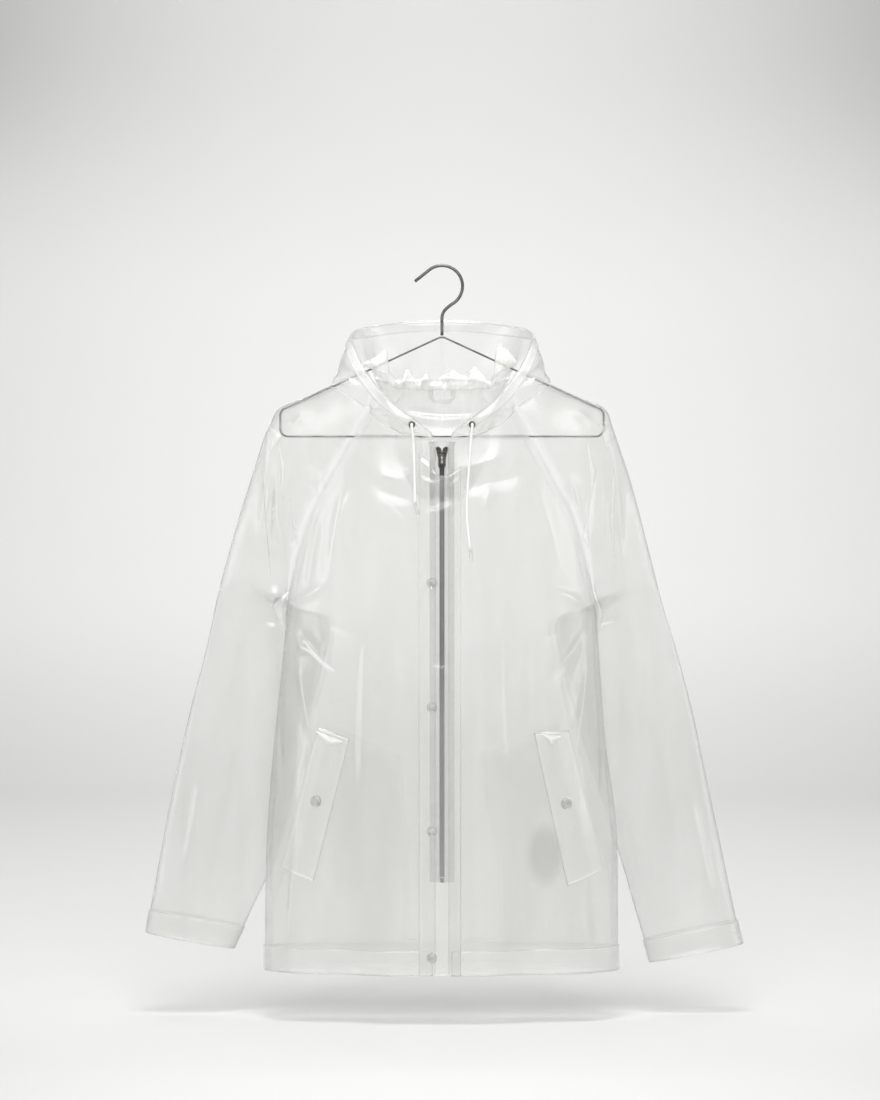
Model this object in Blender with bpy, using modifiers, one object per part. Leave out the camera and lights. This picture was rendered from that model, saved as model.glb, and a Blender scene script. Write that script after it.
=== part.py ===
"""A hooded raincoat of frosted film, hung on a wire hanger.

Metres, +Z up, the fronts face -Y, and the origin is the top inside of the hanger's hook.
Sides are the wearer's: the wearer's right is at -X. Every piece of film is a net of points
worked out from the tables below, given its wall by Solidify.
"""

import math
from collections import namedtuple

import bmesh
import bpy
from mathutils import Vector

# ---- driving sizes ----
WALL = 0.0010  # film
GAP = 0.0004  # between pieces that lie on each other
LAYER = WALL + 2 * GAP  # centre to centre of two layers
SEAM = 0.0004  # half the gap at the side seams
RAGLAN_INSET = 0.0009  # from the fronts and back to the sleeves
ARMPIT_INSET = 0.0020
MERGE = 0.00001

ARMPIT_Z = -0.424
HEM_Z = -0.892
SIDE_Y = -0.003  # plane of the side seams
SECTION_POWER = 1.1  # fullness of the body's section
TURN_UP = 0.030  # hem
CUFF_TURN_UP = 0.030
RAGLAN_TOP_Z = {"front": -0.181, "back": -0.145}
NECK_Z = {"front": -0.2215, "back": -0.150}

ZIP_TOP_Z = -0.230
ZIP_BOTTOM_Z = -0.770
TEETH_WIDTH = 0.0056
TEETH_THICKNESS = 0.0022
FRONT_EDGE_X = 0.0080  # from the centre to each front's edge along the zip
NECK_FLARE = 0.35  # how fast those edges part above the zip
TAPE_X = (0.0032, 0.0155)
TAPE_WALL = 0.0008
TAPE_BELOW_NECK = 0.002
TAPE_END = 0.006  # beyond the last tooth
CHAIN_BELOW_TOP = 0.012  # where the closed teeth come out under the slider
END_STOP = (0.0056, 0.0030, 0.0060)

SNAP_RADIUS = 0.0065
FLAP_SNAP_X = -0.0127
FLAP_SNAP_Z = (-0.4017, -0.5572, -0.7126, -0.8701)
POCKET_SNAP_RADIUS = 0.0072
SNAP_HEIGHT = 0.0020
POCKET_SNAP_HEIGHT = 0.0022
SNAP_GAP = 0.0009  # a flat snap on a curved welt

CORD_RADIUS = 0.0015

HOOK_WIRE = 0.0020
HOOK_RADIUS = 0.0262
HOOK_ARC = (130, -62)  # degrees
HOOK_TIP = 0.0225  # straight beyond the arc
HOOK_BEND = ((0.0055, -0.0525), (0.0008, -0.0560), (0.0, -0.0640))
FRAME_WIRE = 0.0012
FRAME_APEX_Z = -0.0885
FRAME_APEX_HALF = 0.0030
FRAME_APEX_DROP = 0.0010
FRAME_HALF = 0.2058
FRAME_ARM_END = (0.2000, -0.1805)
FRAME_BAR_Z = -0.2155
FRAME_CORNER = 0.010
FRAME_SHOULDER = 0.0086  # from an arm's end down to its corner's centre

LOOP_HALF = 0.017
LOOP_DROP = 0.020
LOOP_TAPE = 0.0055
LOOP_TURN = 0.008
LOOP_IN_FROM_BACK = 0.0024
LOOP_BELOW_NECK = 0.003

# ---- tables ----
# The body, from neck to hem: half widths to the raglan or side seam, depth in front of and
# behind the side seams, and how far round its section the seam is, in degrees.
Body = namedtuple("Body", "z right left front back turn")
BODY = (
    Body(-0.145, 0.0720, 0.0720, 0.0260, 0.0185, 50),
    Body(-0.181, 0.0917, 0.0917, 0.0320, 0.0195, 52),
    Body(-0.216, 0.1120, 0.1114, 0.0355, 0.0200, 56),
    Body(-0.253, 0.1324, 0.1311, 0.0385, 0.0200, 60),
    Body(-0.314, 0.1655, 0.1642, 0.0425, 0.0200, 68),
    Body(-0.354, 0.1808, 0.1782, 0.0445, 0.0195, 74),
    Body(-0.400, 0.1925, 0.1900, 0.0462, 0.0190, 83),
    Body(-0.424, 0.1965, 0.1940, 0.0470, 0.0190, 90),
    Body(-0.474, 0.1999, 0.1982, 0.0485, 0.0195, 90),
    Body(-0.600, 0.2130, 0.2075, 0.0520, 0.0215, 90),
    Body(-0.710, 0.2220, 0.2215, 0.0545, 0.0235, 90),
    Body(-0.800, 0.2245, 0.2235, 0.0562, 0.0250, 90),
    Body(-0.892, 0.2253, 0.2240, 0.0580, 0.0270, 90),
)

# The hanging folds of the body: where each starts and ends, its half width, and its depth,
# outwards or, if negative, inwards.
Fold = namedtuple("Fold", "top_x top_z end_x end_z half depth")
FRONT_FOLDS = (
    Fold(-0.165, -0.44, -0.185, -0.892, 0.024, 0.0035),
    Fold(-0.110, -0.36, -0.125, -0.892, 0.022, -0.0040),
    Fold(-0.062, -0.42, -0.066, -0.892, 0.024, 0.0030),
    Fold(0.058, -0.36, 0.052, -0.892, 0.022, 0.0034),
    Fold(0.108, -0.43, 0.112, -0.892, 0.024, -0.0042),
    Fold(0.160, -0.46, 0.182, -0.892, 0.022, 0.0032),
)
BACK_FOLDS = (
    Fold(-0.120, -0.40, -0.150, -0.892, 0.026, 0.0045),
    Fold(-0.040, -0.46, -0.050, -0.892, 0.028, -0.0042),
    Fold(0.050, -0.38, 0.046, -0.892, 0.026, 0.0040),
    Fold(0.125, -0.48, 0.150, -0.892, 0.026, 0.0040),
)

# The sleeves: v runs from neck (0) past the armpit (0.4) to the cuff (1). The outer line
# follows the hanger's arm, turns over its end and hangs; bulge is the section's half depth.
Outer = namedtuple("Outer", "v x y z bulge")
Inner = namedtuple("Inner", "v x y z")
ARMPIT_V = 0.40
OUTER = {
    "right": (
        Outer(0.00, 0.1400, 0.0000, -0.1500, 0.0010),
        Outer(0.08, 0.1760, 0.0000, -0.1666, 0.0010),
        Outer(0.14, 0.2045, 0.0000, -0.1785, 0.0015),
        Outer(0.17, 0.2128, 0.0000, -0.1868, 0.0020),
        Outer(0.21, 0.2185, 0.0005, -0.2005, 0.0025),
        Outer(0.25, 0.2262, 0.0010, -0.2165, 0.0030),
        Outer(0.30, 0.2400, 0.0030, -0.2600, 0.0045),
        Outer(0.35, 0.2570, 0.0050, -0.3130, 0.0065),
        Outer(0.40, 0.2790, 0.0080, -0.3900, 0.0085),
        Outer(0.45, 0.2890, 0.0120, -0.4300, 0.0095),
        Outer(0.50, 0.3000, 0.0180, -0.4800, 0.0105),
        Outer(0.60, 0.3232, 0.0280, -0.5668, 0.0110),
        Outer(0.70, 0.3427, 0.0320, -0.6525, 0.0115),
        Outer(0.80, 0.3586, 0.0330, -0.7332, 0.0120),
        Outer(0.90, 0.3696, 0.0330, -0.7937, 0.0130),
        Outer(1.00, 0.3797, 0.0330, -0.8502, 0.0140),
    ),
    "left": (
        Outer(0.00, 0.1385, 0.0000, -0.1494, 0.0010),
        Outer(0.08, 0.1740, 0.0000, -0.1657, 0.0010),
        Outer(0.14, 0.2025, 0.0000, -0.1772, 0.0015),
        Outer(0.17, 0.2115, 0.0000, -0.1862, 0.0020),
        Outer(0.21, 0.2160, 0.0005, -0.2000, 0.0025),
        Outer(0.25, 0.2215, 0.0010, -0.2165, 0.0030),
        Outer(0.30, 0.2357, 0.0030, -0.2580, 0.0045),
        Outer(0.35, 0.2510, 0.0050, -0.3110, 0.0065),
        Outer(0.40, 0.2716, 0.0080, -0.3920, 0.0085),
        Outer(0.45, 0.2819, 0.0120, -0.4300, 0.0095),
        Outer(0.50, 0.2976, 0.0180, -0.4800, 0.0105),
        Outer(0.60, 0.3213, 0.0280, -0.5668, 0.0110),
        Outer(0.70, 0.3401, 0.0320, -0.6545, 0.0115),
        Outer(0.80, 0.3580, 0.0330, -0.7382, 0.0120),
        Outer(0.90, 0.3716, 0.0330, -0.8038, 0.0130),
        Outer(1.00, 0.3856, 0.0330, -0.8648, 0.0140),
    ),
}
INNER = {
    "right": (
        Inner(0.40, 0.1965, 0.0000, -0.4240),
        Inner(0.42, 0.1900, 0.0100, -0.4300),
        Inner(0.44, 0.1740, 0.0195, -0.4370),
        Inner(0.47, 0.1500, 0.0265, -0.4460),
        Inner(0.50, 0.1440, 0.0300, -0.4680),
        Inner(0.60, 0.1755, 0.0330, -0.5890),
        Inner(0.70, 0.1917, 0.0340, -0.6747),
        Inner(0.80, 0.2142, 0.0340, -0.7554),
        Inner(0.90, 0.2417, 0.0335, -0.8159),
        Inner(1.00, 0.2673, 0.0330, -0.8704),
    ),
    "left": (
        Inner(0.40, 0.1940, 0.0000, -0.4240),
        Inner(0.42, 0.1880, 0.0100, -0.4300),
        Inner(0.44, 0.1730, 0.0195, -0.4370),
        Inner(0.47, 0.1510, 0.0265, -0.4460),
        Inner(0.50, 0.1455, 0.0300, -0.4680),
        Inner(0.60, 0.1765, 0.0330, -0.5890),
        Inner(0.70, 0.2050, 0.0340, -0.6767),
        Inner(0.80, 0.2305, 0.0340, -0.7604),
        Inner(0.90, 0.2506, 0.0335, -0.8300),
        Inner(1.00, 0.2671, 0.0330, -0.8880),
    ),
}

# The hood's opening, from the centre front (0) over the shoulder (0.43) to the centre back (1).
Rim = namedtuple("Rim", "w x y z")
RIM = (
    Rim(0.00, 0.0127, -0.0410, -0.2130),
    Rim(0.12, 0.0335, -0.0400, -0.1970),
    Rim(0.20, 0.0540, -0.0360, -0.1820),
    Rim(0.28, 0.0760, -0.0280, -0.1610),
    Rim(0.35, 0.0960, -0.0130, -0.1350),
    Rim(0.41, 0.1080, 0.0030, -0.1120),
    Rim(0.47, 0.1150, 0.0220, -0.0890),
    Rim(0.53, 0.1095, 0.0400, -0.0770),
    Rim(0.62, 0.0915, 0.0550, -0.0715),
    Rim(0.75, 0.0610, 0.0670, -0.0660),
    Rim(0.88, 0.0300, 0.0740, -0.0630),
    Rim(1.00, 0.0000, 0.0760, -0.0622),
)
NECK_FRONT_W = 0.30  # where the neck seam reaches the front raglan seam
NECK_BACK_W = 0.56  # and the back one
CASING_WIDTH = 0.014
CASING_OUT = 0.0026
EYELET_W = 0.105
BAG_START = 0.50  # where along the neck the hood begins to hang back as a bag
BAG_FULL = 0.92
BAG_OUT = Vector((0.0, 0.046, -0.235))
BAG_IN = Vector((0.0, 0.004, -0.255))
HOOD_LIFT = 0.0022

# The pocket welts' corners on the wearer's right and left.
Welt = namedtuple("Welt", "top_out top_in end_in end_out snap")
WELTS = {
    "right": Welt((0.156, -0.583), (0.116, -0.597), (0.161, -0.776), (0.2025, -0.761), (0.158, -0.676)),
    "left": Welt((0.159, -0.587), (0.115, -0.590), (0.157, -0.782), (0.2035, -0.763), (0.156, -0.679)),
}
# The pocket bags: their top edge and inner edge, outwards from the centre and down.
Bag = namedtuple("Bag", "z outer inner")
BAGS = {
    "right": (
        Bag(-0.600, 0.1480, 0.0560),
        Bag(-0.650, 0.1600, 0.0490),
        Bag(-0.775, 0.1900, 0.0400),
        Bag(-0.860, 0.2000, 0.0420),
    ),
    "left": (
        Bag(-0.600, 0.1480, 0.0490),
        Bag(-0.650, 0.1600, 0.0500),
        Bag(-0.736, 0.1860, 0.0690),
        Bag(-0.860, 0.2000, 0.0740),
    ),
}
BAG_TOP = {"outer": -0.577, "inner": -0.618}
BAG_ABOVE_TURN_UP = 0.002
BAG_IN_FROM_FRONT = 0.0026
WELT_OUT = 0.0022

# The storm flap's upper edge, dipped under the zip's pull.
FlapTop = namedtuple("FlapTop", "x z")
FLAP_TOP = (
    FlapTop(-0.0290, -0.2380),
    FlapTop(-0.0150, -0.2500),
    FlapTop(-0.0050, -0.2650),
    FlapTop(0.0050, -0.2660),
    FlapTop(0.0140, -0.2610),
    FlapTop(0.0235, -0.2550),
)
FLAP_OUT = 0.0022
FLAP_ATTACHED_OUT = 0.0024

# The drawstring's free ends, as they hang from their eyelets.
DRAWSTRING = {
    "right": (
        (-0.0381, -0.0449, -0.2022),
        (-0.0383, -0.0474, -0.2028),
        (-0.0381, -0.0490, -0.2046),
        (-0.0376, -0.0494, -0.2075),
        (-0.0370, -0.0490, -0.2120),
        (-0.0363, -0.0484, -0.2190),
        (-0.0356, -0.0482, -0.2280),
        (-0.0350, -0.0484, -0.2420),
        (-0.0346, -0.0489, -0.2570),
        (-0.0343, -0.0495, -0.2720),
        (-0.0340, -0.0502, -0.2880),
        (-0.0338, -0.0509, -0.3020),
    ),
    "left": (
        (0.0381, -0.0449, -0.2022),
        (0.0383, -0.0474, -0.2028),
        (0.0381, -0.0490, -0.2046),
        (0.0377, -0.0494, -0.2075),
        (0.0372, -0.0490, -0.2120),
        (0.0366, -0.0484, -0.2190),
        (0.0360, -0.0482, -0.2280),
        (0.0348, -0.0482, -0.2440),
        (0.0334, -0.0486, -0.2640),
        (0.0320, -0.0492, -0.2860),
        (0.0312, -0.0499, -0.3060),
        (0.0318, -0.0507, -0.3260),
        (0.0336, -0.0516, -0.3440),
        (0.0356, -0.0522, -0.3600),
    ),
}
CORD_POINTS = 34
# A tip's radius and length, from its free end back to the cord.
TIP_PROFILE = (
    (0.0, 0.0140), (0.0016, 0.0140), (0.0020, 0.0130), (0.0021, 0.0010), (0.0017, 0.0), (0.0, 0.0),
)
TIP_WAY = {"right": (0.30, -0.02, -1.0), "left": (0.10, -0.02, -1.0)}
EYELET_DOWN = 0.55  # across the casing
EYELET_RING = (
    (0.0023, 0.0), (0.0023, 0.0009), (0.0029, 0.0015), (0.0038, 0.0012), (0.0043, 0.0), (0.0023, 0.0),
)

# ---- finishes ----
Finish = namedtuple("Finish", "color alpha roughness metallic")
FILM = Finish((0.86, 0.87, 0.86), 0.45, 0.35, 0.0)
CLEAR_PLASTIC = Finish((0.80, 0.81, 0.80), 0.60, 0.25, 0.0)
TAPE = Finish((0.62, 0.62, 0.60), 0.80, 0.80, 0.0)
DARK_METAL = Finish((0.10, 0.10, 0.10), 1.0, 0.30, 1.0)
STEEL = Finish((0.45, 0.45, 0.44), 1.0, 0.28, 1.0)
CORD = Finish((0.90, 0.90, 0.89), 1.0, 0.75, 0.0)

SIGN = {"right": -1.0, "left": 1.0}


def clear_scene():
    for thing in list(bpy.data.objects):
        bpy.data.objects.remove(thing, do_unlink=True)


def finish_of(name, finish):
    """A material of its own for one piece."""
    made = bpy.data.materials.new(name)
    made.use_nodes = True
    shader = made.node_tree.nodes["Principled BSDF"]
    shader.inputs["Base Color"].default_value = (*finish.color, 1.0)
    shader.inputs["Alpha"].default_value = finish.alpha
    shader.inputs["Roughness"].default_value = finish.roughness
    shader.inputs["Metallic"].default_value = finish.metallic
    return made


def add(name, data, finish):
    """Puts a piece in the coat's collection, with its material."""
    thing = bpy.data.objects.new(name, data)
    PIECES.objects.link(thing)
    data.materials.append(finish_of(name, finish))
    return thing


# ---- curves through the tables ----
def along(table, column, at):
    """A column's value at `at` in the table's first column, on a smooth curve through its rows."""
    keys = [row[0] for row in table]
    values = [getattr(row, column) for row in table]
    order = 1 if keys[-1] > keys[0] else -1
    at = min(max(at, min(keys)), max(keys))
    index = 0
    while index < len(keys) - 2 and order * (at - keys[index + 1]) > 0:
        index += 1

    def slope(k):
        low, high = max(k - 1, 0), min(k + 1, len(keys) - 1)
        return (values[high] - values[low]) / (keys[high] - keys[low])

    step = keys[index + 1] - keys[index]
    t = (at - keys[index]) / step
    return (
        (2 * t**3 - 3 * t**2 + 1) * values[index]
        + (t**3 - 2 * t**2 + t) * step * slope(index)
        + (3 * t**2 - 2 * t**3) * values[index + 1]
        + (t**3 - t**2) * step * slope(index + 1)
    )


def ease(low, high, value):
    """0 below low, 1 above high, smooth between."""
    t = min(max((value - low) / (high - low), 0.0), 1.0)
    return t * t * (3 - 2 * t)


def mix(a, b, t):
    return a + (b - a) * t


# ---- the body ----
def fold_depth(folds, x, z):
    depth = 0.0
    for fold in folds:
        down = (fold.top_z - z) / (fold.top_z - fold.end_z)
        centre = mix(fold.top_x, fold.end_x, down)
        depth += fold.depth * ease(0.0, 0.5, down) * math.exp(-(((x - centre) / fold.half) ** 2))
    return depth


def body_y(face, side, x, z):
    """Where the front or back is at x and z, x outwards from the centre."""
    turn = math.radians(along(BODY, "turn", z))
    across = min(abs(x) * math.sin(turn) / along(BODY, side, z), 1.0)
    hollow = (1 - across * across) ** (SECTION_POWER / 2)
    depth = along(BODY, face, z) * hollow
    folds = FRONT_FOLDS if face == "front" else BACK_FOLDS
    depth += fold_depth(folds, SIGN[side] * x, z) * min(1.0, 2.0 * hollow)
    return SIDE_Y - depth if face == "front" else SIDE_Y + depth


def front_edge_x(z):
    return FRONT_EDGE_X + NECK_FLARE * max(0.0, z - ZIP_TOP_Z)


def body_x(side, u, z, inner):
    turn = math.radians(along(BODY, "turn", z))
    return mix(inner, along(BODY, side, z), math.sin(u * turn) / math.sin(turn))


def seam_side(face, side, x, z):
    """A point of a body piece, its side seam edge kept off the other piece's."""
    y = body_y(face, side, x, z)
    return Vector((SIGN[side] * x, y - SEAM if face == "front" else y + SEAM, z))


def front_point(side):
    def point(u, v):
        top = mix(NECK_Z["front"], RAGLAN_TOP_Z["front"], u ** 1.25)
        z = mix(top, HEM_Z, v)
        return seam_side("front", side, body_x(side, u, z, front_edge_x(z)), z)

    return point


def back_point(u, v):
    side = "right" if u < 0.5 else "left"
    out = abs(2 * u - 1)
    z = mix(mix(NECK_Z["back"], RAGLAN_TOP_Z["back"], out**2), HEM_Z, v)
    return seam_side("back", side, body_x(side, out, z, 0.0), z)


# ---- the sleeves ----
def sleeve_ends(side, v):
    """The sleeve's edges in front and behind, its outer line, and how closed its section is."""
    outer = Vector((along(OUTER[side], "x", v), along(OUTER[side], "y", v), along(OUTER[side], "z", v)))
    if v >= ARMPIT_V:
        inner = Vector(along(INNER[side], column, v) for column in ("x", "y", "z"))
        inset = mix(ARMPIT_INSET, 0.0, ease(ARMPIT_V, ARMPIT_V + 0.05, v))
        inner.x += inset
        return inner, inner.copy(), outer, 1.0
    ends = []
    down = v / ARMPIT_V
    closed = ease(0.75, 1.0, down)
    for face in ("front", "back"):
        z = mix(RAGLAN_TOP_Z[face], ARMPIT_Z, down)
        x = along(BODY, side, z)
        end = Vector((x, body_y(face, side, x, z), z))
        end.y = mix(end.y, 0.0, closed)
        end += (outer - end).normalized() * mix(RAGLAN_INSET, ARMPIT_INSET, closed)
        ends.append(end)
    return ends[0], ends[1], outer, closed


def sleeve_point(side, start=0.0, end=1.0):
    def point(u, v):
        v = mix(start, end, v)
        front, back, outer, closed = sleeve_ends(side, v)
        bulge = along(OUTER[side], "bulge", v)
        angle = math.pi * u
        inner = front if u < 0.5 else back
        share = mix(math.sin(angle), math.sin(angle) ** 2, closed)
        place = inner.lerp(outer, share)
        middle = mix((front.y + back.y) / 2, outer.y, share)
        half = (back.y - front.y) / 2
        place.y = middle - half * math.cos(angle) - bulge * math.sin(2 * angle)
        return Vector((SIGN[side] * place.x, place.y, place.z))

    return point


# ---- the hood ----
def neck_point(side, w):
    """The neck seam at w, along the front's, the sleeve's and the back's top edges."""
    if w < NECK_FRONT_W:
        return front_point(side)(w / NECK_FRONT_W, 0.0)
    if w < NECK_BACK_W:
        return sleeve_point(side)((w - NECK_FRONT_W) / (NECK_BACK_W - NECK_FRONT_W), 0.0)
    out = (1 - w) / (1 - NECK_BACK_W)
    return back_point(0.5 + SIGN[side] * out / 2, 0.0)


def hood_line(side, w):
    """The hood's film at w, from its opening to the neck seam, as four control points."""
    rim = Vector((SIGN[side] * along(RIM, "x", w), along(RIM, "y", w), along(RIM, "z", w)))
    neck = neck_point(side, w)
    bag = ease(BAG_START, BAG_FULL, w)
    neck += Vector((0.0, 0.004 * ease(NECK_FRONT_W + 0.1, NECK_BACK_W + 0.1, w), HOOD_LIFT))
    length = (neck - rim).length
    swell = Vector((SIGN[side] * 0.30, -0.20, 0.0)) * length * (1 - bag) * ease(0.0, 0.2, w) * 0.4
    upper = rim.lerp(neck, 1 / 3) + swell + BAG_OUT * bag
    lower = rim.lerp(neck, 2 / 3) + swell + BAG_IN * bag
    return rim, upper, lower, neck


def bezier(points, t):
    a, b, c, d = points
    return a * (1 - t) ** 3 + b * 3 * t * (1 - t) ** 2 + c * 3 * t * t * (1 - t) + d * t**3


def hood_point(side, reach=None, out=0.0):
    """The hood's film, or with reach a strip of that width along its opening, moved out."""

    def point(u, v):
        w = min(u, 1 - SEAM / 0.2) if u > 0.5 else u
        line = hood_line(side, w)
        share = v
        if reach:
            lengths = (bezier(line, 0.02) - line[0]).length / 0.02
            share = v * min(reach / lengths, 0.80)
        place = bezier(line, share)
        place.x += SIGN[side] * SEAM * ease(0.9, 1.0, u)
        if out:
            before, after = hood_line(side, max(w - 0.01, 0.0)), hood_line(side, min(w + 0.01, 1.0))
            ahead = bezier(after, share) - bezier(before, share)
            down = bezier(line, share + 0.02) - bezier(line, max(share - 0.02, 0.0))
            place += down.cross(ahead).normalized() * out * SIGN[side]
        return place

    return point


# ---- film from nets ----
class Net:
    """A panel's own points, so that what lies on it follows its faces."""

    def __init__(self, point, columns, rows):
        self.columns, self.rows = columns, rows
        self.points = [[point(c / columns, r / rows) for c in range(columns + 1)] for r in range(rows + 1)]

    def at(self, u, v):
        """The net's point at u across and v down."""
        column, row = min(max(u, 0.0), 1.0) * self.columns, min(max(v, 0.0), 1.0) * self.rows
        c, r = min(int(column), self.columns - 1), min(int(row), self.rows - 1)
        upper = self.points[r][c].lerp(self.points[r][c + 1], column - c)
        lower = self.points[r + 1][c].lerp(self.points[r + 1][c + 1], column - c)
        return upper.lerp(lower, row - r)

    def out(self, u, v, distance, hub):
        """The net's point moved out of its film, away from hub, a point inside the garment."""
        place = self.at(u, v)
        ahead = self.at(u + 0.04, v) - self.at(u - 0.04, v)
        down = self.at(u, v + 0.02) - self.at(u, v - 0.02)
        normal = down.cross(ahead).normalized()
        if normal.dot(place - hub) < 0:
            normal.negate()
        return place + normal * distance


def film(name, point, columns, rows, finish=FILM, wall=WALL):
    """A piece of film: a grid laid on point(u, v), with a wall."""
    grid = bmesh.new()
    bmesh.ops.create_grid(grid, x_segments=columns, y_segments=rows, size=0.5)
    for vertex in grid.verts:
        vertex.co = point(vertex.co.x + 0.5, 0.5 - vertex.co.y)
    bmesh.ops.remove_doubles(grid, verts=grid.verts, dist=MERGE)
    bmesh.ops.recalc_face_normals(grid, faces=grid.faces)
    mesh = bpy.data.meshes.new(name)
    grid.to_mesh(mesh)
    grid.free()
    piece = add(name, mesh, finish)
    made = piece.modifiers.new("Wall", "SOLIDIFY")
    made.thickness = wall
    made.offset = 0.0
    return piece


def net_place(side, x, z):
    """Across and down on a front's net for a place x outwards and z."""
    turn = math.radians(along(BODY, "turn", z))
    inner = front_edge_x(z)
    share = min(max((x - inner) / (along(BODY, side, z) - inner), 0.0), 1.0)
    u = math.asin(share * math.sin(turn)) / turn
    top = mix(NECK_Z["front"], RAGLAN_TOP_Z["front"], u ** 1.25)
    return u, (z - top) / (HEM_Z - top)


def on_front(side, x, z, out=0.0):
    """A place on a front, x outwards from the centre, moved out of its film."""
    net = FRONT_NETS[side]
    u, v = net_place(side, x, z)
    moved = net.out(u, v, out, Vector((0.0, SIDE_Y, z))) - net.at(u, v)
    return Vector((SIGN[side] * x, net.at(u, v).y, z)) + moved


def across_front(x, z, out=0.0):
    """The same, with x from the wearer's right to left."""
    return on_front("right" if x < 0 else "left", abs(x), z, out)


# ---- pieces ----
# Columns and rows of each piece's grid.
FRONT_GRID = (10, 24)
BACK_GRID = (12, 16)
SLEEVE_GRID = (14, 24)
HOOD_GRID = (18, 8)
FLAP_GRID = (4, 24)
TAPE_ROWS = 24
WELT_GRID = (4, 10)
BAG_GRID = (6, 10)
# How far a turn-up stays in from its panel's two edges, of the panel's width.
FRONT_TURN_ENDS = (0.01, 0.97)
BACK_TURN_ENDS = (0.03, 0.97)


def make_body():
    for side in ("right", "left"):
        film(f"front_{side}", front_point(side), *FRONT_GRID)
    film("back", back_point, *BACK_GRID)


def make_sleeves():
    for side in ("right", "left"):
        film(f"sleeve_{side}", sleeve_point(side), *SLEEVE_GRID)


def make_hood():
    for side in ("right", "left"):
        film(f"hood_{side}", hood_point(side), *HOOD_GRID)
        film(f"hood_casing_{side}", hood_point(side, CASING_WIDTH, CASING_OUT), HOOD_GRID[0], 1)


def make_turn_ups():
    for side in ("right", "left"):

        def front_turn(u, v, side=side):
            down = mix(1 - TURN_UP / (NECK_Z["front"] - HEM_Z), 1.0, v)
            return FRONT_NETS[side].out(mix(*FRONT_TURN_ENDS, u), down, -LAYER, Vector((0.0, SIDE_Y, HEM_Z)))

        film(f"hem_turn_front_{side}", front_turn, FRONT_GRID[0], 1)
        film(f"cuff_turn_{side}", cuff_turn(side), SLEEVE_GRID[0], 1)

    def back_turn(u, v):
        down = mix(1 - TURN_UP / (NECK_Z["back"] - HEM_Z), 1.0, v)
        return BACK_NET.out(mix(*BACK_TURN_ENDS, u), down, -LAYER, Vector((0.0, SIDE_Y, HEM_Z)))

    film("hem_turn_back", back_turn, BACK_GRID[0], 1)


def cuff_turn(side):
    """The cuff's turn-up, one layer inside the sleeve."""
    net = SLEEVE_NETS[side]
    length = (net.at(0.25, 1.0) - net.at(0.25, 0.9)).length * 10

    def point(u, v):
        down = mix(1 - CUFF_TURN_UP / length, 1.0, v)
        hub = net.at(0.25, down).lerp(net.at(0.75, down), 0.5)
        inside = net.at(u, down).lerp(hub, 0.5)
        ahead = net.at((u + 0.04) % 1.0, down) - net.at((u - 0.04) % 1.0, down)
        normal = ahead.cross(net.at(u, 1.0) - net.at(u, 0.94)).normalized()
        if normal.dot(inside - net.at(u, down)) < 0:
            normal.negate()
        return net.at(u, down) + normal * LAYER

    return point


def make_flap():
    def point(u, v):
        x = mix(FLAP_TOP[0].x, FLAP_TOP[-1].x, u)
        z = mix(along(FLAP_TOP, "z", x), HEM_Z + GAP, v)
        out = mix(FLAP_OUT, FLAP_ATTACHED_OUT, ease(0.7, 1.0, u))
        return Vector((x, flap_y(z) - out, z))

    film("storm_flap", point, *FLAP_GRID)


def zip_y(z):
    """The plane of the zip's tapes and teeth, one layer behind the fronts."""
    return across_front(FRONT_EDGE_X, z).y + LAYER


def flap_y(z):
    """The fronts' edge plane along the zip."""
    return min(across_front(x, z).y for x in (-FRONT_EDGE_X, FRONT_EDGE_X))


def make_zip():
    for side in ("right", "left"):

        def tape(u, v, side=side):
            z = mix(NECK_Z["front"] - TAPE_BELOW_NECK, ZIP_BOTTOM_Z - TAPE_END, v)
            shift = front_edge_x(z) - FRONT_EDGE_X
            x = shift + mix(*TAPE_X, u)
            return Vector((SIGN[side] * x, on_front(side, x, z).y + LAYER, z))

        film(f"zip_tape_{side}", tape, 1, TAPE_ROWS, TAPE, TAPE_WALL)

    def chain(u, v):
        z = mix(ZIP_TOP_Z - CHAIN_BELOW_TOP, ZIP_BOTTOM_Z, v)
        x = mix(-TEETH_WIDTH, TEETH_WIDTH, u) / 2
        return Vector((x, zip_y(z), z))

    film("zip_chain", chain, 1, TAPE_ROWS, DARK_METAL, TEETH_THICKNESS)


def prism(name, outline, thickness, place, finish):
    """A flat plate: an outline in x and z, of a thickness in y, centred at place."""
    plate = bmesh.new()
    corners = [plate.verts.new(place + Vector((x, -thickness / 2, z))) for x, z in outline]
    face = plate.faces.new(corners)
    pushed = bmesh.ops.extrude_face_region(plate, geom=[face])
    moved = [item for item in pushed["geom"] if isinstance(item, bmesh.types.BMVert)]
    bmesh.ops.translate(plate, verts=moved, vec=(0.0, thickness, 0.0))
    bmesh.ops.recalc_face_normals(plate, faces=plate.faces)
    mesh = bpy.data.meshes.new(name)
    plate.to_mesh(mesh)
    plate.free()
    return add(name, mesh, finish)


def joined(base, *others):
    """Unites helper solids with a piece."""
    for other in others:
        hide_helper(other)
        union = base.modifiers.new("Union", "BOOLEAN")
        union.operation = "UNION"
        union.object = other
    return base


def cut(base, other):
    hide_helper(other)
    hole = base.modifiers.new("Hole", "BOOLEAN")
    hole.operation = "DIFFERENCE"
    hole.object = other


def hide_helper(other):
    PIECES.objects.unlink(other)
    HELPERS.objects.link(other)
    other.hide_render = True
    other.display_type = "WIRE"


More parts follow.
